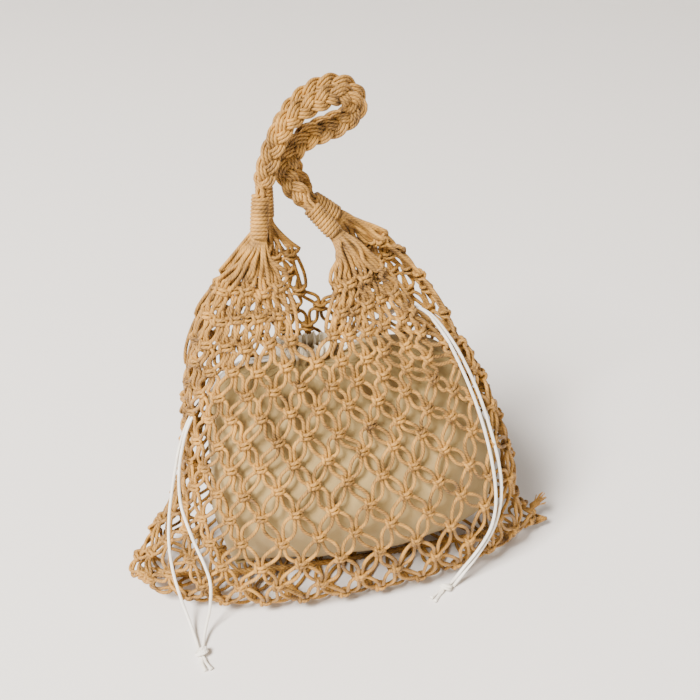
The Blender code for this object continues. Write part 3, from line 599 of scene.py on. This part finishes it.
def pouch_cloth():
    """Unbleached cotton sheeting, plain woven: over and under threads, slubs and a faint uneven tint."""
    look = bpy.context.scene.net_bag_pouch
    made, tree, shader = new_material("unbleached_cotton_sheeting_plain_woven", 0.88, 0.15)
    if tree is None:
        return made
    place = add_node(tree, "ShaderNodeUVMap", {"uv_map": "UVMap"})
    # threads are about 0.5 mm apart on the real cloth and are drawn at 1 mm so that they show;
    # the UV map is in centimetres
    warp, weft = [
        add_node(tree, "ShaderNodeTexWave", {"wave_type": "BANDS", "bands_direction": direction}, {
            "Vector": place.outputs["UV"], "Scale": STRAIGHT_TURN * 10 / look.thread,
            "Distortion": 0.5, "Detail": 2.0, "Detail Scale": 1.0})
        for direction in ("X", "Y")]
    weave = add_node(tree, "ShaderNodeMath", {"operation": "MAXIMUM"}, {
        0: warp.outputs["Fac"], 1: weft.outputs["Fac"]})
    where = add_node(tree, "ShaderNodeTexCoord")
    slub = noise_node(tree, where, 120.0, 4.0, 0.6)
    tone = noise_node(tree, where, 14.0, 2.0, 0.5)
    share = range_node(tree, tone.outputs["Fac"], 0.3, 0.7, 0.0, 0.8)
    body = blend_node(tree, share.outputs["Result"], (*look.light, 1.0), (*look.dark, 1.0))
    # painted light: from about 26 cm up the cloth turns to the pale ruffle colour, which brightens the ruffle
    # where it lies in shade
    height = add_node(tree, "ShaderNodeSeparateXYZ", None, {"Vector": place.outputs["UV"]})
    upper = range_node(tree, height.outputs["Y"], 24.5, 26.5, 0.0, 0.9)
    tint = blend_node(tree, upper.outputs["Result"], body.outputs[2], (*look.ruffle, 1.0))
    coat(tree, shader, tint, slub, 0.8, weave.outputs[0], 0.35, 0.0003)
    return made


def floor_paint():
    """Matt emulsion, rolled: pale, even, with the faintest stipple."""
    look = bpy.context.scene.net_bag_stage
    made, tree, shader = new_material("matt_emulsion_rolled", 0.85, 0.0)
    if tree is None:
        return made
    where = add_node(tree, "ShaderNodeTexCoord")
    stipple = noise_node(tree, where, 500.0, 2.0, 0.5)
    bump = add_node(tree, "ShaderNodeBump", None, {
        "Strength": 0.1, "Distance": 0.0003, "Height": stipple.outputs["Fac"]})
    shader.inputs["Base Color"].default_value = (*look.floor, 1.0)
    tree.links.new(bump.outputs["Normal"], shader.inputs["Normal"])
    return made


class NetBagCord(bpy.types.PropertyGroup):
    diameter: FloatProperty(
        name="Net cord", description="Diameter of the net's cord",
        default=0.0035, min=0.002, max=0.005, unit="LENGTH")
    knot: FloatProperty(
        name="Knot", description="Half the width of a square knot",
        default=0.0066, min=0.004, max=0.009, unit="LENGTH")
    slack: FloatProperty(
        name="Slack", description="How widely the pairs of cords bow between knots",
        default=0.42, min=0.2, max=1.0)
    lay: FloatProperty(
        name="Lay", description="Length of one full twist in millimetres", default=10.0, min=4.0, max=20.0)
    light: FloatVectorProperty(
        name="Crown colour", description="Colour of the cord's crowns",
        subtype="COLOR", default=linear("#BF8C3E"))
    # the groove colour is the second tone of the random mottling and also the painted shade in the grooves
    # between the plies
    dark: FloatVectorProperty(
        name="Groove colour", description="Colour in the cord's grooves",
        subtype="COLOR", default=linear("#3C2710"))


class NetBagHandle(bpy.types.PropertyGroup):
    strand_cords: IntProperty(
        name="Cords in a strand", description="Cords side by side in each strand of the plait",
        default=3, min=2, max=4)
    cord: FloatProperty(
        name="Handle cord", description="Diameter of the plait's cords",
        default=0.0030, min=0.002, max=0.005, unit="LENGTH")
    width: FloatProperty(
        name="Plait width", description="How far a strand swings sideways",
        default=0.0052, min=0.003, max=0.010, unit="LENGTH")
    depth: FloatProperty(
        name="Plait depth", description="How far a strand swings forwards and back",
        default=0.0030, min=0.001, max=0.006, unit="LENGTH")


class NetBagPouch(bpy.types.PropertyGroup):
    pleats: IntProperty(name="Pleats", description="Pleats round the drawn neck", default=22, min=8, max=40)
    pleat_depth: FloatProperty(
        name="Pleat depth", description="How far the ruffle swings in and out",
        default=0.0026, min=0.0, max=0.006, unit="LENGTH")
    thread: FloatProperty(
        name="Thread", description="Drawn distance between threads in millimetres",
        default=1.0, min=0.4, max=3.0)
    light: FloatVectorProperty(
        name="Cloth colour", description="Colour of the cloth in the light",
        subtype="COLOR", default=linear("#AF9661"))
    dark: FloatVectorProperty(
        name="Cloth shade", description="Second tint of the unbleached cloth",
        subtype="COLOR", default=linear("#8A7247"))
    # the ruffle colour is painted light: it brightens the ruffle of the same cloth where it lies in shade
    ruffle: FloatVectorProperty(
        name="Ruffle colour", description="Colour of the ruffled edge",
        subtype="COLOR", default=linear("#FBF1D8"))


class NetBagDrawstring(bpy.types.PropertyGroup):
    diameter: FloatProperty(
        name="Drawstring", description="Diameter of a drawstring",
        default=0.0030, min=0.002, max=0.004, unit="LENGTH")
    lay: FloatProperty(
        name="Lay", description="Length of one full twist in millimetres", default=8.0, min=4.0, max=20.0)
    light: FloatVectorProperty(
        name="Cord colour", description="Colour of the drawstring",
        subtype="COLOR", default=linear("#F3EFE6"))
    # the groove colour is the second tone of the random mottling and also the painted shade in the grooves
    # between the plies
    dark: FloatVectorProperty(
        name="Groove colour", description="Colour in its grooves", subtype="COLOR", default=linear("#D8D0C0"))


class NetBagStage(bpy.types.PropertyGroup):
    floor: FloatVectorProperty(
        name="Floor", description="Floor colour", subtype="COLOR", default=linear("#E4E0DC"))
    key: FloatProperty(
        name="Key light", description="Power of the large soft light", default=1290.0, min=0.0, unit="POWER")
    fill: FloatProperty(
        name="Fill light", description="Power of the weaker light", default=18.0, min=0.0, unit="POWER")
    sky: FloatProperty(
        name="Surround", description="Strength of the even light all round", default=0.075, min=0.0)


class NETBAG_OT_stage(bpy.types.Operator):
    """Pale floor, soft studio light and the camera"""

    bl_idname = "netbag.stage"
    bl_label = "Stage"

    def execute(self, context):
        look = context.scene.net_bag_stage
        # the photograph's angle; focal length and the place of the frame's origin are in its pixels
        turn, rise, focal, distance = radians(-13.0), radians(33.0), 1000.0, 1.05
        picture, sensor, origin = 700.0, 36.0, (338.0, 562.0)
        back = np.array([sin(turn) * cos(rise), -cos(turn) * cos(rise), sin(rise)])
        right = np.array([cos(turn), sin(turn), 0.0])
        up = np.cross(back, right)
        place = (back * distance - right * (origin[0] - picture / 2) / focal * distance
                 - up * (picture / 2 - origin[1]) / focal * distance)
        lens = bpy.data.cameras.new("camera")
        lens.lens = sensor * focal / picture
        lens.sensor_width = sensor
        lens.clip_end = 50.0
        camera = bpy.data.objects.new("camera", lens)
        axes = Matrix((right, up, back)).transposed()
        camera.matrix_world = Matrix.Translation(Vector(place)) @ axes.to_4x4()
        context.scene.collection.objects.link(camera)
        context.scene.camera = camera
        # a round floor that sweeps up far behind the bag, so that every view has the same pale ground
        flat, bend, top, sides, below = 4.5, 2.0, 5.0, 72, 0.0002
        profile = [(flat + bend * sin(radians(t)), bend * (1 - cos(radians(t)))) for t in range(0, 91, 9)]
        profile.append((flat + bend, top))
        turns = [2 * pi * k / sides for k in range(sides)]
        verts = [(r * cos(t), r * sin(t), z - below) for r, z in profile for t in turns]
        faces = [list(range(sides))]
        for ring in range(len(profile) - 1):
            for k in range(sides):
                a, b = ring * sides + k, ring * sides + (k + 1) % sides
                faces.append((a, a + sides, b + sides, b))
        mesh = bpy.data.meshes.new("floor")
        mesh.from_pydata(verts, [], faces)
        mesh.shade_smooth()
        mesh.materials.append(floor_paint())
        floor = bpy.data.objects.new("floor", mesh)
        context.scene.collection.objects.link(floor)
        lamps = (("key", look.key, 1.7, (-3.0, -2.2, 4.6)), ("fill", look.fill, 3.0, (3.8, -2.4, 2.6)))
        for name, power, size, spot in lamps:
            lamp = bpy.data.lights.new(name, "AREA")
            lamp.energy = power
            lamp.size = size
            lamp.color = (1.0, 0.965, 0.92)
            light = bpy.data.objects.new(name, lamp)
            light.location = spot
            aim = Vector((0.0, 0.0, 0.2)) - Vector(spot)
            light.rotation_euler = aim.to_track_quat("-Z", "Y").to_euler()
            context.scene.collection.objects.link(light)
        world = bpy.data.worlds.new("studio")
        world.use_nodes = True
        surround = world.node_tree.nodes["Background"].inputs
        surround["Color"].default_value = (0.96, 0.98, 1.0, 1.0)
        surround["Strength"].default_value = look.sky
        context.scene.world = world
        return {"FINISHED"}


# An overhand knot and its tail in millimetres: ahead, aside, up.
KNOT_LOOP = (
    (0.0, 0.3, 0.2), (3.2, 1.9, 1.2), (6.2, 3.2, 3.4), (9.4, 1.6, 5.4), (10.0, -1.6, 4.6), (7.4, -3.4, 2.6),
    (4.4, -3.0, 0.9), (2.2, -0.6, 1.6), (2.6, 2.0, 4.2), (5.4, 2.6, 6.0), (8.0, 0.2, 6.4), (8.6, -2.6, 3.8),
    (9.0, -1.2, 1.4), (12.0, 0.0, 0.6), (17.0, 0.3, 0.3), (22.0, 1.4, 0.2), (26.0, 2.4, 0.2),
)


def overhand_knot(tubes, start, direction, radius):
    """An overhand knot tied in a pair of strings, with the two ends standing out as a tail."""
    ahead = unit(direction)
    up = np.array([0.0, 0.0, 1.0])
    aside = unit(np.cross(up, ahead))
    for shift, bend in ((1.0, 0.6), (-1.0, -1.1)):
        points = []
        for a, b, c in KNOT_LOOP:
            late = max(0.0, (a - TAIL_FROM) / TAIL_LENGTH)
            sideways = b * 1.25 + shift + bend * 2.2 * late
            points.append(start + ahead * a * MM + aside * sideways * MM + up * (c + 0.4 * abs(shift)) * MM)
        path = curve_through(points, 0.0011)
        path[:, 2] = np.maximum(path[:, 2], radius)
        width = np.full(len(path), radius)
        width[-3:] *= (1.08, 1.2, 1.3)
        tubes.add(path, width, 8)


class NETBAG_OT_drawstrings(bpy.types.Operator):
    """Four drawstrings from the pouch's neck to the floor, with the knots that join them in pairs"""

    bl_idname = "netbag.drawstrings"
    bl_label = "Drawstrings"

    def execute(self, context):
        look = context.scene.net_bag_drawstring
        finish = white_cord()
        radius = look.diameter / 2
        for name, (x, y, tail_x, tail_y) in STRING_KNOTS.items():
            tubes = Tubes()
            overhand_knot(tubes, np.array([x, y, radius]), np.array([tail_x, tail_y, 0.0]), radius)
            tubes.piece(f"string_knot_{name}", finish)
            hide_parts(f"drawstring_knot_{name}")
        for name, points in STRING_ROUTES.items():
            path = smooth_route(points, 130)
            path[:, 2] = np.maximum(path[:, 2], radius + FLOOR_GAP)
            tubes = Tubes()
            tubes.add(path, radius, 10)
            piece = tubes.piece(f"string_{name}", finish)
            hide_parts(f"drawstring_{name}")
        return {"FINISHED"}


# A square knot's four cords from left to right, in shares of half the knot's width: across, up, out.
# The first makes both bars in front, the last the upright bump at the left; the middle two run through.
KNOT_CORDS = {
    1: (
        (-0.94, 0.54, 0.02), (-0.68, 0.38, -0.06), (-0.38, 0.26, 0.38), (0.00, 0.28, 0.56),
        (0.36, 0.38, 0.48), (0.70, 0.36, 0.16), (0.84, 0.04, 0.00), (0.70, -0.26, 0.16),
        (0.36, -0.22, 0.48), (0.00, -0.24, 0.56), (-0.38, -0.28, 0.38), (-0.68, -0.40, -0.06),
        (-0.94, -0.56, 0.02),
    ),
    2: ((-0.27, 0.70, 0.00), (-0.26, 0.36, -0.04), (-0.26, -0.36, -0.04), (-0.27, -0.70, 0.00)),
    3: ((0.27, 0.70, 0.00), (0.26, 0.36, -0.04), (0.26, -0.36, -0.04), (0.27, -0.70, 0.00)),
    4: (
        (0.96, 0.56, 0.06), (0.72, 0.48, 0.02), (0.40, 0.36, -0.44), (0.00, 0.34, -0.50),
        (-0.45, 0.40, -0.42), (-0.74, 0.62, -0.06), (-0.68, 0.42, 0.38), (-0.62, 0.00, 0.66),
        (-0.68, -0.42, 0.38), (-0.74, -0.62, -0.06), (-0.45, -0.40, -0.42), (0.00, -0.34, -0.50),
        (0.40, -0.36, -0.44), (0.72, -0.48, 0.02), (0.96, -0.58, 0.06),
    ),
}
# The direction, across and up, in which each cord leaves a knot and comes in to the next.
LEAVING = {1: (-0.82, -0.57), 2: (0.0, -1.0), 3: (0.0, -1.0), 4: (0.82, -0.57)}
ARRIVING = {1: (0.80, -0.60), 2: (0.0, -1.0), 3: (0.0, -1.0), 4: (-0.80, -0.60)}


def has_knot(place, row):
    """Whether the net has a knot there: the sides and the middle of each panel part higher up."""
    if row % 2:
        return True
    place = place % RING
    if row > SPLIT_ROW and place % COLUMNS == 0:
        return False
    return not (row > DIP_ROW and place % (COLUMNS / 2) == 0)


class NetCords:
    """Lays every cord of the net from its collar down through the knots to the bottom seam."""

    def __init__(self, look):
        self.look = look
        self.rng = np.random.default_rng(7)
        self.knots = {}
        for row in range(1, TOP_ROW + 1):
            for k in range(RING):
                place = k + 0.5 * (row % 2)
                if has_knot(place, row):
                    self.knots[(row, place)] = self.make_knot(place, row)

    def make_knot(self, place, row):
        """A knot's middle, across, up and out, half its width and how openly its cords may bow."""
        middle, across, up, out, room = knot_frame(place, row)
        loose = KNOT_STRAY if row > 1 else SEAM_STRAY
        middle = middle + across * self.rng.normal(0, loose) + up * self.rng.normal(0, loose)
        lean = self.rng.normal(0, KNOT_LEAN)
        turned = across * cos(lean) + up * sin(lean)
        # where the knots crowd towards an ear, every other one is pushed back and they lap over each other
        crowd = float(np.clip(2.4 - room / CROWDED_ROOM, 0.0, 1.0))
        middle = middle + out * CROWDED_STEP * crowd * (1 if int(place) % 2 else -1)
        half = min(self.look.knot, (0.60 + 0.28 * crowd) * room) * self.rng.uniform(0.94, 1.05)
        open_share = min(1.0, (room / OPEN_ROOM) ** 2)
        return middle, turned, unit(up - turned * (up @ turned)), out, half, open_share

    def in_knot(self, key, port):
        """One cord's points within a knot; port 1 to 4 counts its cords from left to right."""
        middle, across, up, out, half = self.knots[key][:5]
        tall = max(half, 0.8 * self.look.knot)
        points = [middle + across * a * half + up * b * tall + out * c * self.look.knot
                  for a, b, c in KNOT_CORDS[port]]
        if port in (2, 3):
            return points
        return list(curve_through(points, KNOT_SPACING))

    def direction(self, key, port, table):
        """The way in which a cord leaves a knot or comes in to it."""
        across, up = self.knots[key][1:3]
        a, b = table[port]
        return unit(across * a * self.knots[key][5] + up * b)

    def link(self, start_key, start_port, end_key, end_port):
        """The bowed cord between two knots."""
        start = self.in_knot(start_key, start_port)[-1]
        end = self.in_knot(end_key, end_port)[0]
        reach = np.linalg.norm(end - start)
        slack = self.look.slack * self.rng.uniform(0.85, 1.12)
        leave = self.direction(start_key, start_port, LEAVING)
        arrive = self.direction(end_key, end_port, ARRIVING)
        if end_key[0] == start_key[0] - 2:
            slack = FLOAT_SLACK
            straight = (end - start) / reach
            leave = unit(leave + 2.0 * straight)
            arrive = unit(arrive + 2.0 * straight)
        leave = leave * reach * slack
        arrive = arrive * reach * slack
        out = (self.knots[start_key][3] + self.knots[end_key][3]) / 2
        t = np.linspace(0, 1, 9)[1:-1, None]
        curve = bezier(start, start + leave, end - arrive, end, t)
        return list(curve + out * LINK_BOW * np.sin(t * pi))

    def to_seam(self, key, port):
        """The last stretch, from a knot of the lowest row into the seam."""
        start = self.in_knot(key, port)[-1]
        side = -0.5 if port < 3 else 0.5
        end = ring_point((key[1] + side * 0.8) % RING, 0.0)
        end[1] = 0.0
        leave = self.direction(key, port, LEAVING) * np.linalg.norm(end - start) * 0.4
        t = np.linspace(0, 1, 6)[1:, None]
        return list((1 - t) ** 2 * start + 2 * (1 - t) * t * (start + leave) + t ** 2 * end)

    def fan(self, place, port):
        """A cord from inside its collar down to the top row of knots."""
        ear = int(place // (COLUMNS / 2))
        side = "front" if place < COLUMNS else "back"
        hand = ("left", "right", "right", "left")[ear]
        rank = (place - 0.5 - ear * COLUMNS / 2) * 4 + port - 1
        spread = 2 * ((rank + 0.5) / CORDS_PER_EAR) - 1
        low, top = collar_ends(f"{side}_{hand}")
        axis = unit(top - low)
        facing = unit(np.cross((1.0, 0.0, 0.0), axis)) * (1 if side == "front" else -1)
        wide = unit(np.cross(axis, facing))
        layer = (int(rank) % 3) - 1
        depth = layer * FAN_LAYER * (1 - 0.5 * spread ** 2)
        offset = wide * (spread * FAN_HALF_WIDTH) + facing * depth
        tucked = low + axis * FAN_TUCK * np.linalg.norm(top - low) + offset * 0.85
        entry = low + axis * FAN_ENTRY + offset
        first = self.in_knot((TOP_ROW, place), port)[0]
        arrive = self.direction((TOP_ROW, place), port, ARRIVING)
        loose = self.rng.normal(0, FAN_STRAY, 3)
        below = entry - axis * FAN_DROP + offset * 0.25
        last = first - arrive * FAN_FINISH
        reach = last - below
        bow = facing * (FAN_BOW + layer * FAN_BOW_STEP) - axis * FAN_BOW
        upper = below + reach * 0.33 + bow + loose
        lower = below + reach * 0.70 + bow * 0.8 - loose
        points = [tucked, entry, below, upper, lower, last]
        return list(curve_through(points, FAN_SPACING)) + [first - arrive * 0.0015]

    def whole_cord(self, place, port):
        """All points of one cord."""
        points = self.fan(place, port)
        row = TOP_ROW
        while True:
            points += self.in_knot((row, place), port)
            if row == 1:
                points += self.to_seam((row, place), port)
                return np.array(points)
            step = -0.5 if port < 3 else 0.5
            beside = (place + step) % RING
            if has_knot(beside, row - 1):
                new = (row - 1, beside)
                new_port = port + 2 if port < 3 else port - 2
            else:
                new = (row - 2, place)
                new_port = port
            points += self.link((row, place), port, new, new_port)
            (row, place), port = new, new_port


class NETBAG_OT_net(bpy.types.Operator):
    """The net: every cord from the collars through all the square knots to the bottom seam"""

    bl_idname = "netbag.net"
    bl_label = "Net"

    def execute(self, context):
        look = context.scene.net_bag_cord
        finish = tan_cord()
        cords = NetCords(look)
        radius = look.diameter / 2
        names = ("net_front_left", "net_front_right", "net_back_right", "net_back_left")
        for ear, name in enumerate(names):
            tubes = Tubes()
            for k in range(COLUMNS // 2):
                for port in (1, 2, 3, 4):
                    path = cords.whole_cord(ear * COLUMNS / 2 + k + 0.5, port)
                    path[:, 2] = np.maximum(path[:, 2], radius + FLOOR_GAP)
                    keep = np.concatenate([[True], np.linalg.norm(np.diff(path, axis=0), axis=1) > 0.0002])
                    tubes.add(path[keep], radius, 7)
            piece = tubes.piece(name, finish)
            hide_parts("net_body")
        tubes = Tubes()
        line = [ring_point(place, 0.0) for place in np.linspace(0.15, COLUMNS - 0.35, 49)]
        line = smooth_route(line, 230)
        line[:, 1] = 0.0
        steps = lengths_along(line)
        for k in range(3):
            turn = 2 * pi * (k / 3 + steps / SEAM_LAY)
            path = line + np.stack([np.zeros(len(line)), np.cos(turn), np.sin(turn)], -1) * SEAM_SPREAD
            path[:, 2] = np.maximum(path[:, 2], radius + FLOOR_GAP)
            ends = np.clip(np.minimum(steps, steps[-1] - steps) / SEAM_ENDS, 0.0, 1.0)
            tubes.add(path, radius * (0.55 + 0.45 * ends ** 0.5), 8)
        seam = tubes.piece("net_seam", finish)
        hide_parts("net_body")
        return {"FINISHED"}


class NETBAG_OT_wraps(bpy.types.Operator):
    """The four collars: one cord whipped round each gathered ear, turn beside turn"""

    bl_idname = "netbag.wraps"
    bl_label = "Wraps"

    def execute(self, context):
        finish = tan_cord()
        cord = WHIP_CORD
        for ear in EARS:
            low, top = collar_ends(ear)
            axis = unit(top - low)
            length = np.linalg.norm(top - low)
            side = unit(np.cross(axis, (0.0, 1.0, 0.0)))
            back = np.cross(axis, side)
            turns = int(round((length - 2 * cord) / (1.96 * cord)))
            t = np.linspace(0, 1, turns * 28 + 1)
            angle = 2 * pi * turns * t + 0.8
            coil = WHIP_COILS + WHIP_SWELL * np.sin(t * pi)
            path = (low + axis * cord + axis * (length - 2 * cord) * t[:, None]
                    + (side * np.cos(angle)[:, None] + back * np.sin(angle)[:, None]) * coil[:, None])
            first, last = [low + axis * reached + (side * cos(turn) + back * sin(turn)) * WHIP_TUCK
                           for reached, turn in ((cord, 0.3), (length - cord, angle[-1] + 0.5))]
            tubes = Tubes()
            tubes.add(np.vstack([first, path, last]), cord, 8)
            piece = tubes.piece(f"whipping_{ear}", finish)
            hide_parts(f"wrap_{ear}")
        return {"FINISHED"}


class NETBAG_OT_handles(bpy.types.Operator):
    """The two handles: three strands of several cords each, plaited flat"""

    bl_idname = "netbag.handles"
    bl_label = "Handles"

    def execute(self, context):
        look = context.scene.net_bag_handle
        finish = tan_cord()
        for side in ("front", "back"):
            route = handle_route(side)
            steps = lengths_along(route)
            collar = [np.linalg.norm(np.subtract(*collar_ends(f"{side}_{hand}"))) * (1 - BUNDLE_SHARE)
                      for hand in ("left", "right")]
            free = np.minimum(steps - collar[0], steps[-1] - steps - collar[1]) - PLAIT_LEAD
            open_share = np.clip(free / PLAIT_TAPER, 0.0, 1.0)
            open_share = open_share * open_share * (3 - 2 * open_share)
            tangents = np.gradient(route, axis=0)
            tangents /= np.linalg.norm(tangents, axis=1)[:, None]
            facing = PLAIT_FACE - tangents * (tangents @ PLAIT_FACE)[:, None]
            facing /= np.linalg.norm(facing, axis=1)[:, None]
            wide = np.cross(tangents, facing)
            tubes = Tubes()
            cord = look.cord / 2
            for strand in range(3):
                phase = 2 * pi * (steps / PLAIT_CYCLE + strand / 3)
                swing = look.width * np.sin(phase)
                deep = look.depth * np.sin(2 * phase)
                slant = np.arctan(look.width * np.cos(phase) * 2 * pi / PLAIT_CYCLE)
                for k in range(look.strand_cords):
                    for layer in (-1, 1):
                        rank = k - (look.strand_cords - 1) / 2
                        lane = rank * 2 * cord * PLAIT_CLOSE
                        level = layer * (cord * 0.72 + 0.25 * cord * (1 - rank ** 2))
                        x = swing * open_share + lane * np.cos(slant) * (0.35 + 0.65 * open_share)
                        shift = -lane * np.sin(slant) * open_share
                        y = deep * open_share + level * (0.9 + 0.1 * open_share)
                        packed = 2 * pi * (strand + (k + 0.5 * (layer + 1) / 2) / look.strand_cords) / 3
                        x = x + (1 - open_share) * PLAIT_BUNDLE * np.cos(packed)
                        y = y + (1 - open_share) * PLAIT_BUNDLE * np.sin(packed)
                        path = route + wide * x[:, None] + facing * y[:, None] + tangents * shift[:, None]
                        tubes.add(path, cord, 8)
            piece = tubes.piece(f"plait_{side}", finish)
            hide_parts(f"handle_{side}")
        return {"FINISHED"}


def pouch_row(at):
    """A row of the pouch's table, read smoothly between its rows at a share of its height."""
    rows = np.array(POUCH_SECTIONS)
    index = at * (len(rows) - 1)
    k = min(int(index), len(rows) - 2)
    t = index - k
    before, after = rows[max(k - 1, 0)], rows[min(k + 2, len(rows) - 1)]
    a, b = rows[k], rows[k + 1]
    return 0.5 * (2 * a + (b - before) * t + (2 * before - 5 * a + 4 * b - after) * t ** 2
                  + (3 * a - before - 3 * b + after) * t ** 3)


class NETBAG_OT_pouch(bpy.types.Operator):
    """The cloth pouch: soft folds down from the drawn neck and a ruffle above it"""

    bl_idname = "netbag.pouch"
    bl_label = "Pouch"

    def execute(self, context):
        look = context.scene.net_bag_pouch
        sides, rows = POUCH_SIDES, POUCH_ROWS
        shape = bmesh.new()
        uv = shape.loops.layers.uv.new("UVMap")
        rings = []
        for r in range(rows + 1):
            at = r / rows
            xl, xr, zl, zm, zr, yl, yr, yf, yb, ruffle = pouch_row(at)
            gather = max(0.0, (at - GATHER_FROM) / GATHER_SPAN)
            ring = []
            for k in range(sides):
                turn = 2 * pi * (k / sides)
                s, c = sin(turn), cos(turn)
                x = ((xl + xr) / 2 + s * (xr - xl) / 2) * POUCH_WIDTH
                y_side = yl + (yr - yl) * (s + 1) / 2
                y_middle = yb if c > 0 else yf
                y = (y_side + (y_middle - y_side) * abs(c) ** POUCH_CORNER) * POUCH_DEPTH
                z_side = zl if s < 0 else zr
                z = (zm + (z_side - zm) * abs(s) ** 2) * POUCH_HEIGHT
                out = unit(np.array([s * POUCH_DEPTH, c * POUCH_DEPTH, 0.0]))
                wobble = noise.noise(Vector((4 * s, 4 * c, 3.0 * at)))
                pleat = sin(look.pleats * turn + 2.4 * wobble)
                fine = sin(2.3 * look.pleats * turn + 5.0 * wobble + 9 * at)
                fold = look.pleat_depth * ruffle * 0.8 * pleat + FINE_PLEAT * ruffle * fine
                soft = (noise.noise(Vector((x * 16, y * 16 + 5, z * 9)))
                        + 0.5 * noise.noise(Vector((x * 38, y * 38, z * 22))))
                drape = SOFT_FOLD * soft * (1 - ruffle / 1.8)
                drape += DRAPE_FOLD * gather * pleat * (1 - min(ruffle, 1.0))
                z += FRILL_RISE * max(0.0, ruffle - 1.0) * noise.noise(Vector((6 * s, 6 * c, 8.0)))
                ring.append(shape.verts.new(Vector(np.array([x, y, z]) + out * (fold + drape))))
            rings.append(ring)
        for r in range(rows):
            for k in range(sides):
                m = (k + 1) % sides
                face = shape.faces.new((rings[r][k], rings[r][m], rings[r + 1][m], rings[r + 1][k]))
                for loop, (a, b) in zip(face.loops, ((k, r), (k + 1, r), (k + 1, r + 1), (k, r + 1))):
                    loop[uv].uv = (a / sides * POUCH_UV[0], b / rows * POUCH_UV[1])
        hem = rings[0]
        for k in range(sides // 2):
            corners = []
            for vert in (hem[k], hem[-k % sides], hem[-k - 1], hem[k + 1]):
                if vert not in corners:
                    corners.append(vert)
            shape.faces.new(corners)
        bmesh.ops.recalc_face_normals(shape, faces=shape.faces)
        mesh = bpy.data.meshes.new("cloth_pouch")
        shape.to_mesh(mesh)
        shape.free()
        pouch = add_piece("cloth_pouch", mesh, pouch_cloth())
        cloth = pouch.modifiers.new("Cloth", "SOLIDIFY")
        cloth.thickness = CLOTH_THICKNESS
        cloth.offset = -1.0
        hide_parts("pouch")
        return {"FINISHED"}


class NETBAG_OT_tuft(bpy.types.Operator):
    """The tuft of cut cord ends at the net's right bottom corner"""

    bl_idname = "netbag.tuft"
    bl_label = "Tuft"

    def execute(self, context):
        finish = tan_cord()
        rng = np.random.default_rng(3)
        low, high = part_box("corner_tuft")
        root = np.array([low.x + 0.003, (low.y + high.y) / 2, low.z + 0.004])
        out = unit(np.array([0.80, 0.10, 0.60]))
        tubes = Tubes()
        for _ in range(TUFT_ENDS):
            aim = unit(out + rng.normal(0, TUFT_SPREAD, 3))
            start = root + rng.normal(0, 0.0014, 3)
            length = rng.uniform(TUFT_SHORTEST, TUFT_LONGEST)
            bend = rng.normal(0, 0.002, 3)
            middle, end = start + aim * length * 0.5 + bend * 0.4, start + aim * length + bend
            path = curve_through([start - out * 0.004, start, middle, end], 0.0015)
            tubes.add(path, np.linspace(0.0009, 0.0005, len(path)), 6)
        head = [root - out * 0.005, root - out * 0.001, root + out * 0.004]
        tubes.add(curve_through(head, 0.001), 0.0030, 10)
        piece = tubes.piece("cord_tuft", finish)
        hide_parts("corner_tuft")
        return {"FINISHED"}


class NETBAG_PT_panel(bpy.types.Panel):
    """Sizes and colours of the bag, and the buttons that make its pieces"""

    bl_label = "Net Bag"
    bl_idname = "NETBAG_PT_panel"
    bl_space_type = "VIEW_3D"
    bl_region_type = "UI"
    bl_category = "Net Bag"

    def draw(self, context):
        for name in SETTINGS:
            look = getattr(context.scene, name)
            box = self.layout.box()
            for prop in look.bl_rna.properties:
                if not prop.is_hidden and prop.identifier not in ("rna_type", "name"):
                    box.prop(look, prop.identifier)
        for operator in OPERATORS:
            self.layout.operator(operator.bl_idname)


SETTINGS = {
    "net_bag_cord": NetBagCord,
    "net_bag_handle": NetBagHandle,
    "net_bag_pouch": NetBagPouch,
    "net_bag_drawstring": NetBagDrawstring,
    "net_bag_stage": NetBagStage,
}
OPERATORS = (
    NETBAG_OT_stage,
    NETBAG_OT_drawstrings,
    NETBAG_OT_net,
    NETBAG_OT_wraps,
    NETBAG_OT_handles,
    NETBAG_OT_pouch,
    NETBAG_OT_tuft,
)


def register():
    for name, group in SETTINGS.items():
        bpy.utils.register_class(group)
        setattr(bpy.types.Scene, name, PointerProperty(type=group))
    for kind in (*OPERATORS, NETBAG_PT_panel):
        bpy.utils.register_class(kind)


def unregister():
    for kind in (NETBAG_PT_panel, *reversed(OPERATORS)):
        bpy.utils.unregister_class(kind)
    for name, group in SETTINGS.items():
        delattr(bpy.types.Scene, name)
        bpy.utils.unregister_class(group)


def main():
    register()
    bpy.ops.netbag.stage()
    bpy.ops.netbag.drawstrings()
    bpy.ops.netbag.net()
    bpy.ops.netbag.wraps()
    bpy.ops.netbag.handles()
    bpy.ops.netbag.pouch()
    bpy.ops.netbag.tuft()
    bpy.context.view_layer.update()


if __name__ == "__main__":
    main()
